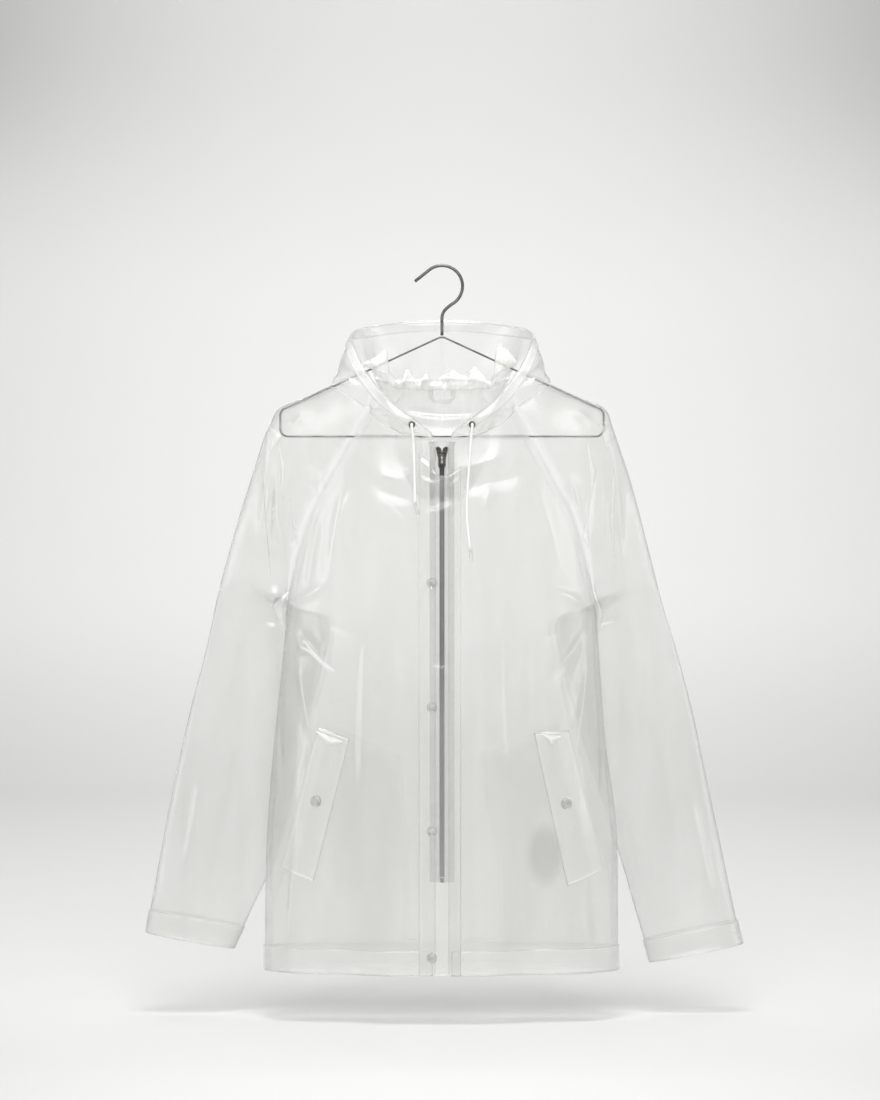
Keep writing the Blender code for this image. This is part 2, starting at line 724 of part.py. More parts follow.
def bar(name, radius, depth, place, segments=24):
    """A plain round bar along Y."""
    cone = bmesh.new()
    bmesh.ops.create_cone(cone, cap_ends=True, segments=segments, radius1=radius, radius2=radius, depth=depth)
    mesh = bpy.data.meshes.new(name)
    cone.to_mesh(mesh)
    cone.free()
    made = add(name, mesh, DARK_METAL)
    made.rotation_euler = (math.pi / 2, 0.0, 0.0)
    made.location = place
    return made


SLIDER_PLATE = 0.0012
SLIDER_GAP = 0.0034
SLIDER_MIDDLE = 0.0110  # below the slider's top, where it takes the zip's depth
SLIDER_OUTLINE = (
    (-0.0046, -0.0150), (-0.0058, -0.0110), (-0.0072, -0.0050), (-0.0074, -0.0020), (-0.0062, 0.0),
    (-0.0034, -0.0004), (-0.0016, -0.0022), (0.0016, -0.0022), (0.0034, -0.0004),
    (0.0062, 0.0), (0.0074, -0.0020), (0.0072, -0.0050), (0.0058, -0.0110), (0.0046, -0.0150),
)
BRIDGE_Z = -0.0050  # of the pull's axis, below the slider's top
BRIDGE_OUT = 0.0020  # of that axis, in front of the slider's front plate
BRIDGE_WIDTH = 0.0022
WEDGE_OUTLINE = ((-0.0015, -0.0030), (0.0, -0.0100), (0.0015, -0.0030))
# The bridge in y and z, from the slider's front plate at the pull's height.
BRIDGE_OUTLINE = (
    (0.0004, 0.0030), (-0.0034, 0.0029), (-0.0050, 0.0012), (-0.0051, -0.0050), (-0.0034, -0.0076),
    (0.0004, -0.0080), (0.0004, -0.0062), (-0.0026, -0.0060), (-0.0040, -0.0042), (-0.0040, 0.0006),
    (-0.0030, 0.0017), (0.0004, 0.0018),
)
PULL_THICKNESS = 0.0014
PULL_OUTLINE = (
    (-0.0034, 0.0008), (-0.0043, 0.0002), (-0.0047, -0.0060), (-0.0047, -0.0195), (-0.0036, -0.0215),
    (0.0036, -0.0215), (0.0047, -0.0195), (0.0047, -0.0060), (0.0043, 0.0002), (0.0034, 0.0008),
)


PULL_SLOT = ((-0.0017, -0.0008), (-0.0017, -0.0092), (0.0017, -0.0092), (0.0017, -0.0008))
PULL_HOLE_RADIUS = 0.0016
PULL_HOLE_Z = -0.0165
CUTTER_DEPTH = 0.02


def make_slider():
    """The slider, of two plates joined by a wedge, with the bridge that its pull hangs from."""
    middle = Vector((0.0, zip_y(ZIP_TOP_Z - SLIDER_MIDDLE), ZIP_TOP_Z))
    step = Vector((0.0, (SLIDER_GAP + SLIDER_PLATE) / 2, 0.0))
    slider = prism("zip_slider", SLIDER_OUTLINE, SLIDER_PLATE, middle - step, DARK_METAL)
    rear = prism("slider_rear", SLIDER_OUTLINE, SLIDER_PLATE, middle + step, DARK_METAL)
    wedge = prism("slider_wedge", WEDGE_OUTLINE, SLIDER_GAP + SLIDER_PLATE, middle, DARK_METAL)
    front_y = middle.y - SLIDER_GAP / 2 - SLIDER_PLATE
    axis = Vector((0.0, front_y - BRIDGE_OUT, ZIP_TOP_Z + BRIDGE_Z))
    bridge = side_plate("slider_bridge", BRIDGE_OUTLINE, BRIDGE_WIDTH, Vector((0.0, front_y, axis.z)))
    joined(slider, rear, wedge, bridge)
    pull = prism("zip_pull", PULL_OUTLINE, PULL_THICKNESS, Vector(), DARK_METAL)
    pull.location = axis
    slot = prism("pull_slot", PULL_SLOT, CUTTER_DEPTH, Vector(), DARK_METAL)
    slot.location = axis
    cut(pull, slot)
    cut(pull, bar("pull_hole", PULL_HOLE_RADIUS, CUTTER_DEPTH, axis + Vector((0.0, 0.0, PULL_HOLE_Z))))
    width, depth, height = END_STOP
    box = ((-width / 2, 0.0), (-width / 2, -height), (width / 2, -height), (width / 2, 0.0))
    place = Vector((0.0, zip_y(ZIP_BOTTOM_Z), ZIP_BOTTOM_Z - GAP))
    prism("zip_end_stop", box, depth, place, DARK_METAL)


def side_plate(name, outline, width, place):
    """A flat plate whose outline is in y and z, of a width in x."""
    plate = bmesh.new()
    corners = [plate.verts.new(place + Vector((-width / 2, y, z))) for y, z in outline]
    pushed = bmesh.ops.extrude_face_region(plate, geom=[plate.faces.new(corners)])
    moved = [item for item in pushed["geom"] if isinstance(item, bmesh.types.BMVert)]
    bmesh.ops.translate(plate, verts=moved, vec=(width, 0.0, 0.0))
    bmesh.ops.recalc_face_normals(plate, faces=plate.faces)
    mesh = bpy.data.meshes.new(name)
    plate.to_mesh(mesh)
    plate.free()
    return add(name, mesh, DARK_METAL)


def turned(name, profile, place, facing, finish, segments=20):
    """A turned piece: radius and height pairs down its outer side, set to face a direction."""
    mesh = bpy.data.meshes.new(name)
    outline = bmesh.new()
    points = [outline.verts.new((radius, 0.0, height)) for radius, height in profile]
    for first, second in zip(points, points[1:]):
        outline.edges.new((first, second))
    if profile[0] == profile[-1]:
        bmesh.ops.remove_doubles(outline, verts=outline.verts, dist=MERGE)
    outline.to_mesh(mesh)
    outline.free()
    piece = add(name, mesh, finish)
    screw = piece.modifiers.new("Turn", "SCREW")
    screw.steps = segments
    screw.render_steps = segments
    screw.use_merge_vertices = True
    screw.merge_threshold = MERGE
    piece.rotation_euler = facing.to_track_quat("Z", "Y").to_euler()
    piece.location = place
    return piece


def cap_profile(radius, height):
    return ((0.0, height), (radius * 0.45, height * 0.97), (radius * 0.70, height * 0.72),
            (radius * 0.80, height * 0.62), (radius * 0.97, height * 0.50), (radius, height * 0.25),
            (radius, 0.0), (0.0, 0.0))


def make_snaps():
    for number, z in enumerate(FLAP_SNAP_Z, 1):
        place = Vector((FLAP_SNAP_X, flap_y(z) - FLAP_OUT - WALL / 2 - GAP, z))
        profile = cap_profile(SNAP_RADIUS, SNAP_HEIGHT)
        turned(f"flap_snap_{number}", profile, place, Vector((0, -1, 0)), CLEAR_PLASTIC)
    for side in ("right", "left"):
        x, z = WELTS[side].snap
        foot = on_front(side, x, z, WELT_OUT + WALL / 2 + SNAP_GAP)
        facing = (on_front(side, x, z, LAYER) - on_front(side, x, z)).normalized()
        profile = cap_profile(POCKET_SNAP_RADIUS, POCKET_SNAP_HEIGHT)
        turned(f"pocket_snap_{side}", profile, foot, facing, CLEAR_PLASTIC)


def make_pockets():
    for side in ("right", "left"):
        welt = WELTS[side]

        def on_welt(u, v, side=side, welt=welt):
            top = Vector(welt.top_out).lerp(Vector(welt.top_in), u)
            end = Vector(welt.end_out).lerp(Vector(welt.end_in), u)
            x, z = top.lerp(end, v)
            return on_front(side, x, z, WELT_OUT)

        film(f"pocket_welt_{side}", on_welt, *WELT_GRID)

        def on_bag(u, v, side=side):
            z = mix(mix(BAG_TOP["inner"], BAG_TOP["outer"], u), HEM_Z + TURN_UP + BAG_ABOVE_TURN_UP, v)
            x = mix(along(BAGS[side], "inner", z), along(BAGS[side], "outer", z), u)
            return on_front(side, x, z, -BAG_IN_FROM_FRONT)

        film(f"pocket_bag_{side}", on_bag, *BAG_GRID)


def tube(name, points, radius, resolution, finish, cyclic=False):
    """A round wire or cord along points."""
    curve = bpy.data.curves.new(name, "CURVE")
    curve.dimensions = "3D"
    curve.bevel_depth = radius
    curve.bevel_resolution = resolution
    curve.use_fill_caps = not cyclic
    line = curve.splines.new("POLY")
    line.points.add(len(points) - 1)
    for target, place in zip(line.points, points):
        target.co = (*place, 1.0)
    line.use_cyclic_u = cyclic
    return add(name, curve, finish)


def smooth_route(points, count):
    """Evenly numbered points on a smooth curve through a route's own points."""
    Place = namedtuple("Place", "t x y z")
    table = [Place(i, *point) for i, point in enumerate(points)]
    span = len(points) - 1
    return [
        Vector(along(table, column, span * k / (count - 1)) for column in ("x", "y", "z"))
        for k in range(count)
    ]


def make_drawstring():
    for side in ("right", "left"):
        place = hood_point(side, CASING_WIDTH, CASING_OUT)(EYELET_W, EYELET_DOWN)
        outer = hood_point(side, CASING_WIDTH, CASING_OUT + LAYER)(EYELET_W, EYELET_DOWN)
        facing = (outer - place).normalized()
        turned(f"eyelet_{side}", EYELET_RING, place + facing * (WALL / 2 + GAP), facing, DARK_METAL)
        route = smooth_route(DRAWSTRING[side], CORD_POINTS)
        tube(f"drawstring_{side}", route, CORD_RADIUS, 2, CORD)
        way = Vector(TIP_WAY[side]).normalized()
        turned(f"drawstring_tip_{side}", TIP_PROFILE, route[-1] + way * GAP, way, CLEAR_PLASTIC, 12)


def arc(centre, radius, first, last, count):
    """Points on an arc in x and z, angles in degrees."""
    angles = [math.radians(mix(first, last, k / (count - 1))) for k in range(count)]
    return [Vector((centre[0] + radius * math.cos(a), 0.0, centre[1] + radius * math.sin(a))) for a in angles]


def make_hanger():
    ring = arc((0.0, HOOK_WIRE - HOOK_RADIUS), HOOK_RADIUS, *HOOK_ARC, 26)
    tip = ring[0] + (ring[0] - ring[1]).normalized() * HOOK_TIP
    bend = [ring[-1], *(Vector((x, 0.0, z)) for x, z in HOOK_BEND)]
    foot = Vector((0.0, 0.0, FRAME_APEX_Z + FRAME_WIRE + GAP))
    stem = [bezier(bend, k / 6) for k in range(1, 7)]
    tube("hanger_hook", [tip, *ring, *stem, foot], HOOK_WIRE, 2, STEEL)

    arm_x, arm_z = FRAME_ARM_END
    half = [Vector((FRAME_APEX_HALF, 0.0, FRAME_APEX_Z - FRAME_APEX_DROP)), Vector((arm_x, 0.0, arm_z))]
    slope = math.degrees(math.atan2(arm_z - FRAME_APEX_Z, arm_x))
    corner = (FRAME_HALF - FRAME_CORNER, FRAME_BAR_Z + FRAME_CORNER)
    half += arc((corner[0], arm_z - FRAME_SHOULDER), FRAME_CORNER, 90 + slope, 0, 5)[1:]
    half += arc(corner, FRAME_CORNER, 0, -90, 6)
    other = [Vector((-place.x, place.y, place.z)) for place in reversed(half)]
    tube("hanger_frame", half + other, FRAME_WIRE, 2, STEEL, cyclic=True)


def make_hanging_loop():
    """A small tape loop inside the back neck, its two ends at the seam."""
    place = Vector((0.0, BACK_NET.at(0.5, 0.0).y - LOOP_IN_FROM_BACK, NECK_Z["back"] - LOOP_BELOW_NECK))
    outer = ((LOOP_HALF, 0.0), (LOOP_HALF, LOOP_TURN - LOOP_DROP), (LOOP_HALF - LOOP_TURN, -LOOP_DROP))
    inner = tuple((x - LOOP_TAPE, z) for x, z in outer[:2])
    inner += ((LOOP_HALF - LOOP_TURN, LOOP_TAPE - LOOP_DROP),)
    outside = [(-x, z) for x, z in outer] + list(outer[::-1])
    inside = list(inner) + [(-x, z) for x, z in inner[::-1]]
    prism("hanging_loop", outside + inside, WALL, place, FILM)


clear_scene()
PIECES = bpy.data.collections.new("Raincoat")
HELPERS = bpy.data.collections.new("Helpers")
bpy.context.scene.collection.children.link(PIECES)
bpy.context.scene.collection.children.link(HELPERS)
FRONT_NETS = {side: Net(front_point(side), *FRONT_GRID) for side in ("right", "left")}
BACK_NET = Net(back_point, *BACK_GRID)
SLEEVE_NETS = {side: Net(sleeve_point(side), *SLEEVE_GRID) for side in ("right", "left")}

make_body()
make_sleeves()
make_hood()
make_turn_ups()
make_flap()
make_zip()
make_slider()
make_snaps()
make_pockets()
make_drawstring()
make_hanger()
make_hanging_loop()
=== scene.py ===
"""A hooded raincoat of frosted film on a wire hanger, as a Blender add-on.

Metres, +Z up, the fronts face -Y, and the origin is the inside of the top of the hanger's hook.
Sides are the wearer's: the wearer's right is at -X. Run as a script, it builds the whole scene.
"""

import math
from collections import namedtuple

import bmesh
import bpy
import numpy as np
from mathutils import Matrix, Vector


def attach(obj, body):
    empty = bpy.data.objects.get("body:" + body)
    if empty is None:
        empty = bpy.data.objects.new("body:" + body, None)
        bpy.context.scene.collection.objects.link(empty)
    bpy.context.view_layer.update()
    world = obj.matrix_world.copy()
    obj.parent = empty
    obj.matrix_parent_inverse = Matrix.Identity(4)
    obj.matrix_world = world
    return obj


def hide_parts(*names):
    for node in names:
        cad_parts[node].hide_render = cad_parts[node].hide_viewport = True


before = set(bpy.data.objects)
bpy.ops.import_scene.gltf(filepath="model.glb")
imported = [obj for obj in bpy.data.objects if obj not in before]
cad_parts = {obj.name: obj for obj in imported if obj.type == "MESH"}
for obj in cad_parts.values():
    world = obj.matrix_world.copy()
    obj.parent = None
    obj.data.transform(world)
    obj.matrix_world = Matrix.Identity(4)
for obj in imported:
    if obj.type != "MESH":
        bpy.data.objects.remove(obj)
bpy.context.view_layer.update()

bl_info = {
    "name": "Hooded raincoat",
    "version": (1, 0, 0),
    "blender": (4, 5, 0),
    "location": "3D View > Sidebar > Raincoat",
    "description": "Builds a frosted raincoat on a wire hanger, with its studio",
    "category": "Object",
}

SIDES = ("right", "left")
SIGN = {"right": -1.0, "left": 1.0}

# ---- driving sizes ----
GAP = 0.0004
LAYER = 0.0018  # centre to centre of two layers of film
SEAM = 0.0004
RAGLAN_INSET = 0.0009
ARMPIT_INSET = 0.0020
MERGE = 0.00001
ARMPIT_Z = -0.424
HEM_Z = -0.892
SIDE_Y = -0.003
SECTION_POWER = 1.1
TURN_UP = 0.030
RAGLAN_TOP_Z = {"front": -0.181, "back": -0.145}
NECK_Z = {"front": -0.2215, "back": -0.150}
ZIP_TOP_Z = -0.230
ZIP_BOTTOM_Z = -0.770
FRONT_EDGE_X = 0.0080
NECK_FLARE = 0.35
TAPE_X = (0.0032, 0.0155)
SNAP_RADIUS = 0.0065
FLAP_SNAP_X = -0.0127
FLAP_SNAP_Z = (-0.4017, -0.5572, -0.7126, -0.8701)
POCKET_SNAP_RADIUS = 0.0072
CORD_RADIUS = 0.0015
HOOK_WIRE = 0.0020
HOOK_RADIUS = 0.0262
HOOK_ARC = (130, -62)
HOOK_TIP = 0.0225
HOOK_BEND = ((0.0055, -0.0525), (0.0008, -0.0560), (0.0, -0.0640))
FRAME_WIRE = 0.0012
FRAME_APEX_Z = -0.0885
FRAME_APEX_HALF = 0.0030
FRAME_APEX_DROP = 0.0010
FRAME_HALF = 0.2058
FRAME_ARM_END = (0.2000, -0.1805)
FRAME_BAR_Z = -0.2155
FRAME_CORNER = 0.010
FRAME_SHOULDER = 0.0086
CASING_WIDTH = 0.014
CASING_OUT = 0.0026
BAG_START = 0.50
BAG_FULL = 0.92
BAG_OUT = np.array((0.0, 0.046, -0.235))
BAG_IN = np.array((0.0, 0.004, -0.255))
HOOD_LIFT = 0.0022
NECK_FRONT_W = 0.30
NECK_BACK_W = 0.56
ARMPIT_V = 0.40

# ---- tables, as the pieces were cut ----
Body = namedtuple("Body", "z right left front back turn")
BODY = (
    Body(-0.145, 0.0720, 0.0720, 0.0260, 0.0185, 50),
    Body(-0.181, 0.0917, 0.0917, 0.0320, 0.0195, 52),
    Body(-0.216, 0.1120, 0.1114, 0.0355, 0.0200, 56),
    Body(-0.253, 0.1324, 0.1311, 0.0385, 0.0200, 60),
    Body(-0.314, 0.1655, 0.1642, 0.0425, 0.0200, 68),
    Body(-0.354, 0.1808, 0.1782, 0.0445, 0.0195, 74),
    Body(-0.400, 0.1925, 0.1900, 0.0462, 0.0190, 83),
    Body(-0.424, 0.1965, 0.1940, 0.0470, 0.0190, 90),
    Body(-0.474, 0.1999, 0.1982, 0.0485, 0.0195, 90),
    Body(-0.600, 0.2130, 0.2075, 0.0520, 0.0215, 90),
    Body(-0.710, 0.2220, 0.2215, 0.0545, 0.0235, 90),
    Body(-0.800, 0.2245, 0.2235, 0.0562, 0.0250, 90),
    Body(-0.892, 0.2253, 0.2240, 0.0580, 0.0270, 90),
)

# The hanging folds of the body: where each starts and ends, its half width, and its depth,
# outwards or, if negative, inwards.
Fold = namedtuple("Fold", "top_x top_z end_x end_z half depth")
FRONT_FOLDS = (
    Fold(-0.165, -0.44, -0.185, -0.892, 0.024, 0.0035),
    Fold(-0.110, -0.36, -0.125, -0.892, 0.022, -0.0040),
    Fold(-0.062, -0.42, -0.066, -0.892, 0.024, 0.0030),
    Fold(0.058, -0.36, 0.052, -0.892, 0.022, 0.0034),
    Fold(0.108, -0.43, 0.112, -0.892, 0.024, -0.0042),
    Fold(0.160, -0.46, 0.182, -0.892, 0.022, 0.0032),
)
BACK_FOLDS = (
    Fold(-0.120, -0.40, -0.150, -0.892, 0.026, 0.0045),
    Fold(-0.040, -0.46, -0.050, -0.892, 0.028, -0.0042),
    Fold(0.050, -0.38, 0.046, -0.892, 0.026, 0.0040),
    Fold(0.125, -0.48, 0.150, -0.892, 0.026, 0.0040),
)

# The sleeves: v runs from neck (0) past the armpit (0.4) to the cuff (1). The outer line
# follows the hanger's arm, turns over its end and hangs; bulge is the section's half depth.
Outer = namedtuple("Outer", "v x y z bulge")
Inner = namedtuple("Inner", "v x y z")
ARMPIT_V = 0.40
OUTER = {
    "right": (
        Outer(0.00, 0.1400, 0.0000, -0.1500, 0.0010),
        Outer(0.08, 0.1760, 0.0000, -0.1666, 0.0010),
        Outer(0.14, 0.2045, 0.0000, -0.1785, 0.0015),
        Outer(0.17, 0.2128, 0.0000, -0.1868, 0.0020),
        Outer(0.21, 0.2185, 0.0005, -0.2005, 0.0025),
        Outer(0.25, 0.2262, 0.0010, -0.2165, 0.0030),
        Outer(0.30, 0.2400, 0.0030, -0.2600, 0.0045),
        Outer(0.35, 0.2570, 0.0050, -0.3130, 0.0065),
        Outer(0.40, 0.2790, 0.0080, -0.3900, 0.0085),
        Outer(0.45, 0.2890, 0.0120, -0.4300, 0.0095),
        Outer(0.50, 0.3000, 0.0180, -0.4800, 0.0105),
        Outer(0.60, 0.3232, 0.0280, -0.5668, 0.0110),
        Outer(0.70, 0.3427, 0.0320, -0.6525, 0.0115),
        Outer(0.80, 0.3586, 0.0330, -0.7332, 0.0120),
        Outer(0.90, 0.3696, 0.0330, -0.7937, 0.0130),
        Outer(1.00, 0.3797, 0.0330, -0.8502, 0.0140),
    ),
    "left": (
        Outer(0.00, 0.1385, 0.0000, -0.1494, 0.0010),
        Outer(0.08, 0.1740, 0.0000, -0.1657, 0.0010),
        Outer(0.14, 0.2025, 0.0000, -0.1772, 0.0015),
        Outer(0.17, 0.2115, 0.0000, -0.1862, 0.0020),
        Outer(0.21, 0.2160, 0.0005, -0.2000, 0.0025),
        Outer(0.25, 0.2215, 0.0010, -0.2165, 0.0030),
        Outer(0.30, 0.2357, 0.0030, -0.2580, 0.0045),
        Outer(0.35, 0.2510, 0.0050, -0.3110, 0.0065),
        Outer(0.40, 0.2716, 0.0080, -0.3920, 0.0085),
        Outer(0.45, 0.2819, 0.0120, -0.4300, 0.0095),
        Outer(0.50, 0.2976, 0.0180, -0.4800, 0.0105),
        Outer(0.60, 0.3213, 0.0280, -0.5668, 0.0110),
        Outer(0.70, 0.3401, 0.0320, -0.6545, 0.0115),
        Outer(0.80, 0.3580, 0.0330, -0.7382, 0.0120),
        Outer(0.90, 0.3716, 0.0330, -0.8038, 0.0130),
        Outer(1.00, 0.3856, 0.0330, -0.8648, 0.0140),
    ),
}
INNER = {
    "right": (
        Inner(0.40, 0.1965, 0.0000, -0.4240),
        Inner(0.42, 0.1900, 0.0100, -0.4300),
        Inner(0.44, 0.1740, 0.0195, -0.4370),
        Inner(0.47, 0.1500, 0.0265, -0.4460),
        Inner(0.50, 0.1440, 0.0300, -0.4680),
        Inner(0.60, 0.1755, 0.0330, -0.5890),
        Inner(0.70, 0.1917, 0.0340, -0.6747),
        Inner(0.80, 0.2142, 0.0340, -0.7554),
        Inner(0.90, 0.2417, 0.0335, -0.8159),
        Inner(1.00, 0.2673, 0.0330, -0.8704),
    ),
    "left": (
        Inner(0.40, 0.1940, 0.0000, -0.4240),
        Inner(0.42, 0.1880, 0.0100, -0.4300),
        Inner(0.44, 0.1730, 0.0195, -0.4370),
        Inner(0.47, 0.1510, 0.0265, -0.4460),
        Inner(0.50, 0.1455, 0.0300, -0.4680),
        Inner(0.60, 0.1765, 0.0330, -0.5890),
        Inner(0.70, 0.2050, 0.0340, -0.6767),
        Inner(0.80, 0.2305, 0.0340, -0.7604),
        Inner(0.90, 0.2506, 0.0335, -0.8300),
        Inner(1.00, 0.2671, 0.0330, -0.8880),
    ),
}

# The hood's opening, from the centre front (0) over the shoulder (0.43) to the centre back (1).
Rim = namedtuple("Rim", "w x y z")
RIM = (
    Rim(0.00, 0.0127, -0.0410, -0.2130),
    Rim(0.12, 0.0335, -0.0400, -0.1970),
    Rim(0.20, 0.0540, -0.0360, -0.1820),
    Rim(0.28, 0.0760, -0.0280, -0.1610),
    Rim(0.35, 0.0960, -0.0130, -0.1350),
    Rim(0.41, 0.1080, 0.0030, -0.1120),
    Rim(0.47, 0.1150, 0.0220, -0.0890),
    Rim(0.53, 0.1095, 0.0400, -0.0770),
    Rim(0.62, 0.0915, 0.0550, -0.0715),
    Rim(0.75, 0.0610, 0.0670, -0.0660),
    Rim(0.88, 0.0300, 0.0740, -0.0630),
    Rim(1.00, 0.0000, 0.0760, -0.0622),
)

# The pocket welts' corners on the wearer's right and left.
Welt = namedtuple("Welt", "top_out top_in end_in end_out snap")
WELTS = {
    "right": Welt((0.156, -0.583), (0.116, -0.597), (0.161, -0.776), (0.2025, -0.761), (0.158, -0.676)),
    "left": Welt((0.159, -0.587), (0.115, -0.590), (0.157, -0.782), (0.2035, -0.763), (0.156, -0.679)),
}
# The pocket bags: their top edge and inner edge, outwards from the centre and down.
Bag = namedtuple("Bag", "z outer inner")
BAGS = {
    "right": (
        Bag(-0.600, 0.1480, 0.0560),
        Bag(-0.650, 0.1600, 0.0490),
        Bag(-0.775, 0.1900, 0.0400),
        Bag(-0.860, 0.2000, 0.0420),
    ),
    "left": (
        Bag(-0.600, 0.1480, 0.0490),
        Bag(-0.650, 0.1600, 0.0500),
        Bag(-0.736, 0.1860, 0.0690),
        Bag(-0.860, 0.2000, 0.0740),
    ),
}
BAG_TOP = {"outer": -0.577, "inner": -0.618}
BAG_ABOVE_TURN_UP = 0.002
BAG_IN_FROM_FRONT = 0.0026
WELT_OUT = 0.0022

# The storm flap's upper edge, dipped under the zip's pull.
FlapTop = namedtuple("FlapTop", "x z")
FLAP_TOP = (
    FlapTop(-0.0290, -0.2380),
    FlapTop(-0.0150, -0.2500),
    FlapTop(-0.0050, -0.2650),
    FlapTop(0.0050, -0.2660),
    FlapTop(0.0140, -0.2610),
    FlapTop(0.0235, -0.2550),
)
FLAP_OUT = 0.0022
FLAP_ATTACHED_OUT = 0.0024

# The drawstring's free ends, as they hang from their eyelets.
DRAWSTRING = {
    "right": (
        (-0.0381, -0.0449, -0.2022),
        (-0.0383, -0.0474, -0.2028),
        (-0.0381, -0.0490, -0.2046),
        (-0.0376, -0.0494, -0.2075),
        (-0.0370, -0.0490, -0.2120),
        (-0.0363, -0.0484, -0.2190),
        (-0.0356, -0.0482, -0.2280),
        (-0.0350, -0.0484, -0.2420),
        (-0.0346, -0.0489, -0.2570),
        (-0.0343, -0.0495, -0.2720),
        (-0.0340, -0.0502, -0.2880),
        (-0.0338, -0.0509, -0.3020),
    ),
    "left": (
        (0.0381, -0.0449, -0.2022),
        (0.0383, -0.0474, -0.2028),
        (0.0381, -0.0490, -0.2046),
        (0.0377, -0.0494, -0.2075),
        (0.0372, -0.0490, -0.2120),
        (0.0366, -0.0484, -0.2190),
        (0.0360, -0.0482, -0.2280),
        (0.0348, -0.0482, -0.2440),
        (0.0334, -0.0486, -0.2640),
        (0.0320, -0.0492, -0.2860),
        (0.0312, -0.0499, -0.3060),
        (0.0318, -0.0507, -0.3260),
        (0.0336, -0.0516, -0.3440),
        (0.0356, -0.0522, -0.3600),
    ),
}

# ---- creases ----
# A crease runs from one point to another in x and z, x from the wearer's right. Half is its half
# width, depth stands it out or, if negative, in, and bow bends it sideways.
Crease = namedtuple("Crease", "x0 z0 x1 z1 half depth bow")
FRONT_CREASES = (
    Crease(-0.092, -0.258, -0.040, -0.276, 0.0090, 0.0015, 0.003),
    Crease(-0.086, -0.282, -0.030, -0.298, 0.0120, -0.0009, 0.003),
    Crease(-0.118, -0.262, -0.142, -0.420, 0.0090, 0.0016, 0.006),
    Crease(-0.150, -0.300, -0.172, -0.430, 0.0060, -0.0014, 0.004),
    Crease(-0.190, -0.432, -0.128, -0.402, 0.0070, 0.0026, -0.004),
    Crease(-0.188, -0.452, -0.120, -0.520, 0.0080, -0.0020, 0.006),
    Crease(-0.186, -0.470, -0.150, -0.640, 0.0075, 0.0016, 0.006),
    Crease(-0.205, -0.500, -0.200, -0.700, 0.0050, -0.0016, 0.003),
    Crease(-0.092, -0.420, -0.102, -0.700, 0.0060, 0.0013, 0.004),
    Crease(-0.044, -0.330, -0.050, -0.640, 0.0070, 0.0015, -0.005),
    Crease(-0.030, -0.480, -0.034, -0.860, 0.0045, -0.0011, 0.003),
    Crease(-0.178, -0.660, -0.196, -0.892, 0.0060, 0.0014, 0.002),
    Crease(-0.140, -0.790, -0.150, -0.892, 0.0080, 0.0018, 0.000),
    Crease(-0.078, -0.640, -0.082, -0.892, 0.0060, -0.0012, 0.002),
    Crease(-0.185, -0.478, -0.168, -0.492, 0.0055, 0.0020, 0.001),
    Crease(0.006, -0.262, 0.096, -0.232, 0.0100, 0.0013, 0.004),
    Crease(0.012, -0.284, 0.112, -0.262, 0.0130, -0.0010, 0.004),
    Crease(0.060, -0.262, 0.048, -0.400, 0.0070, 0.0014, 0.003),
    Crease(0.112, -0.268, 0.150, -0.400, 0.0080, 0.0016, -0.005),
    Crease(0.186, -0.432, 0.124, -0.408, 0.0070, 0.0025, 0.004),
    Crease(0.184, -0.456, 0.112, -0.540, 0.0090, -0.0020, -0.006),
    Crease(0.186, -0.480, 0.154, -0.660, 0.0070, 0.0016, -0.005),
    Crease(0.200, -0.500, 0.200, -0.720, 0.0055, -0.0014, -0.003),
    Crease(0.080, -0.400, 0.088, -0.660, 0.0065, -0.0013, 0.004),
    Crease(0.034, -0.420, 0.036, -0.720, 0.0050, 0.0012, -0.003),
    Crease(0.128, -0.560, 0.092, -0.640, 0.0100, 0.0016, 0.003),
    Crease(0.040, -0.760, 0.044, -0.892, 0.0060, 0.0014, 0.001),
    Crease(0.100, -0.740, 0.096, -0.892, 0.0070, 0.0014, 0.002),
    Crease(0.176, -0.770, 0.192, -0.892, 0.0060, 0.0013, 0.001),
)
BACK_CREASES = (
    Crease(-0.060, -0.175, 0.062, -0.178, 0.0060, 0.0022, 0.010),
    Crease(-0.070, -0.200, 0.078, -0.206, 0.0090, -0.0018, 0.014),
    Crease(-0.110, -0.240, -0.030, -0.330, 0.0100, 0.0018, 0.006),
    Crease(0.104, -0.232, 0.020, -0.350, 0.0110, 0.0018, -0.006),
    Crease(-0.186, -0.430, -0.100, -0.470, 0.0080, 0.0024, 0.006),
    Crease(0.184, -0.430, 0.110, -0.480, 0.0080, 0.0024, -0.006),
    Crease(-0.150, -0.440, -0.120, -0.700, 0.0080, -0.0016, 0.006),
    Crease(0.160, -0.450, 0.128, -0.690, 0.0080, -0.0016, -0.006),
    Crease(-0.080, -0.400, -0.096, -0.640, 0.0070, 0.0014, 0.005),
    Crease(0.010, -0.420, 0.002, -0.720, 0.0080, 0.0014, 0.004),
    Crease(0.082, -0.560, 0.096, -0.892, 0.0070, 0.0016, -0.004),
    Crease(-0.190, -0.640, -0.180, -0.892, 0.0070, 0.0014, 0.003),
    Crease(-0.014, -0.700, -0.020, -0.892, 0.0060, -0.0014, 0.002),
    Crease(0.186, -0.620, 0.176, -0.892, 0.0060, 0.0016, 0.002),
)
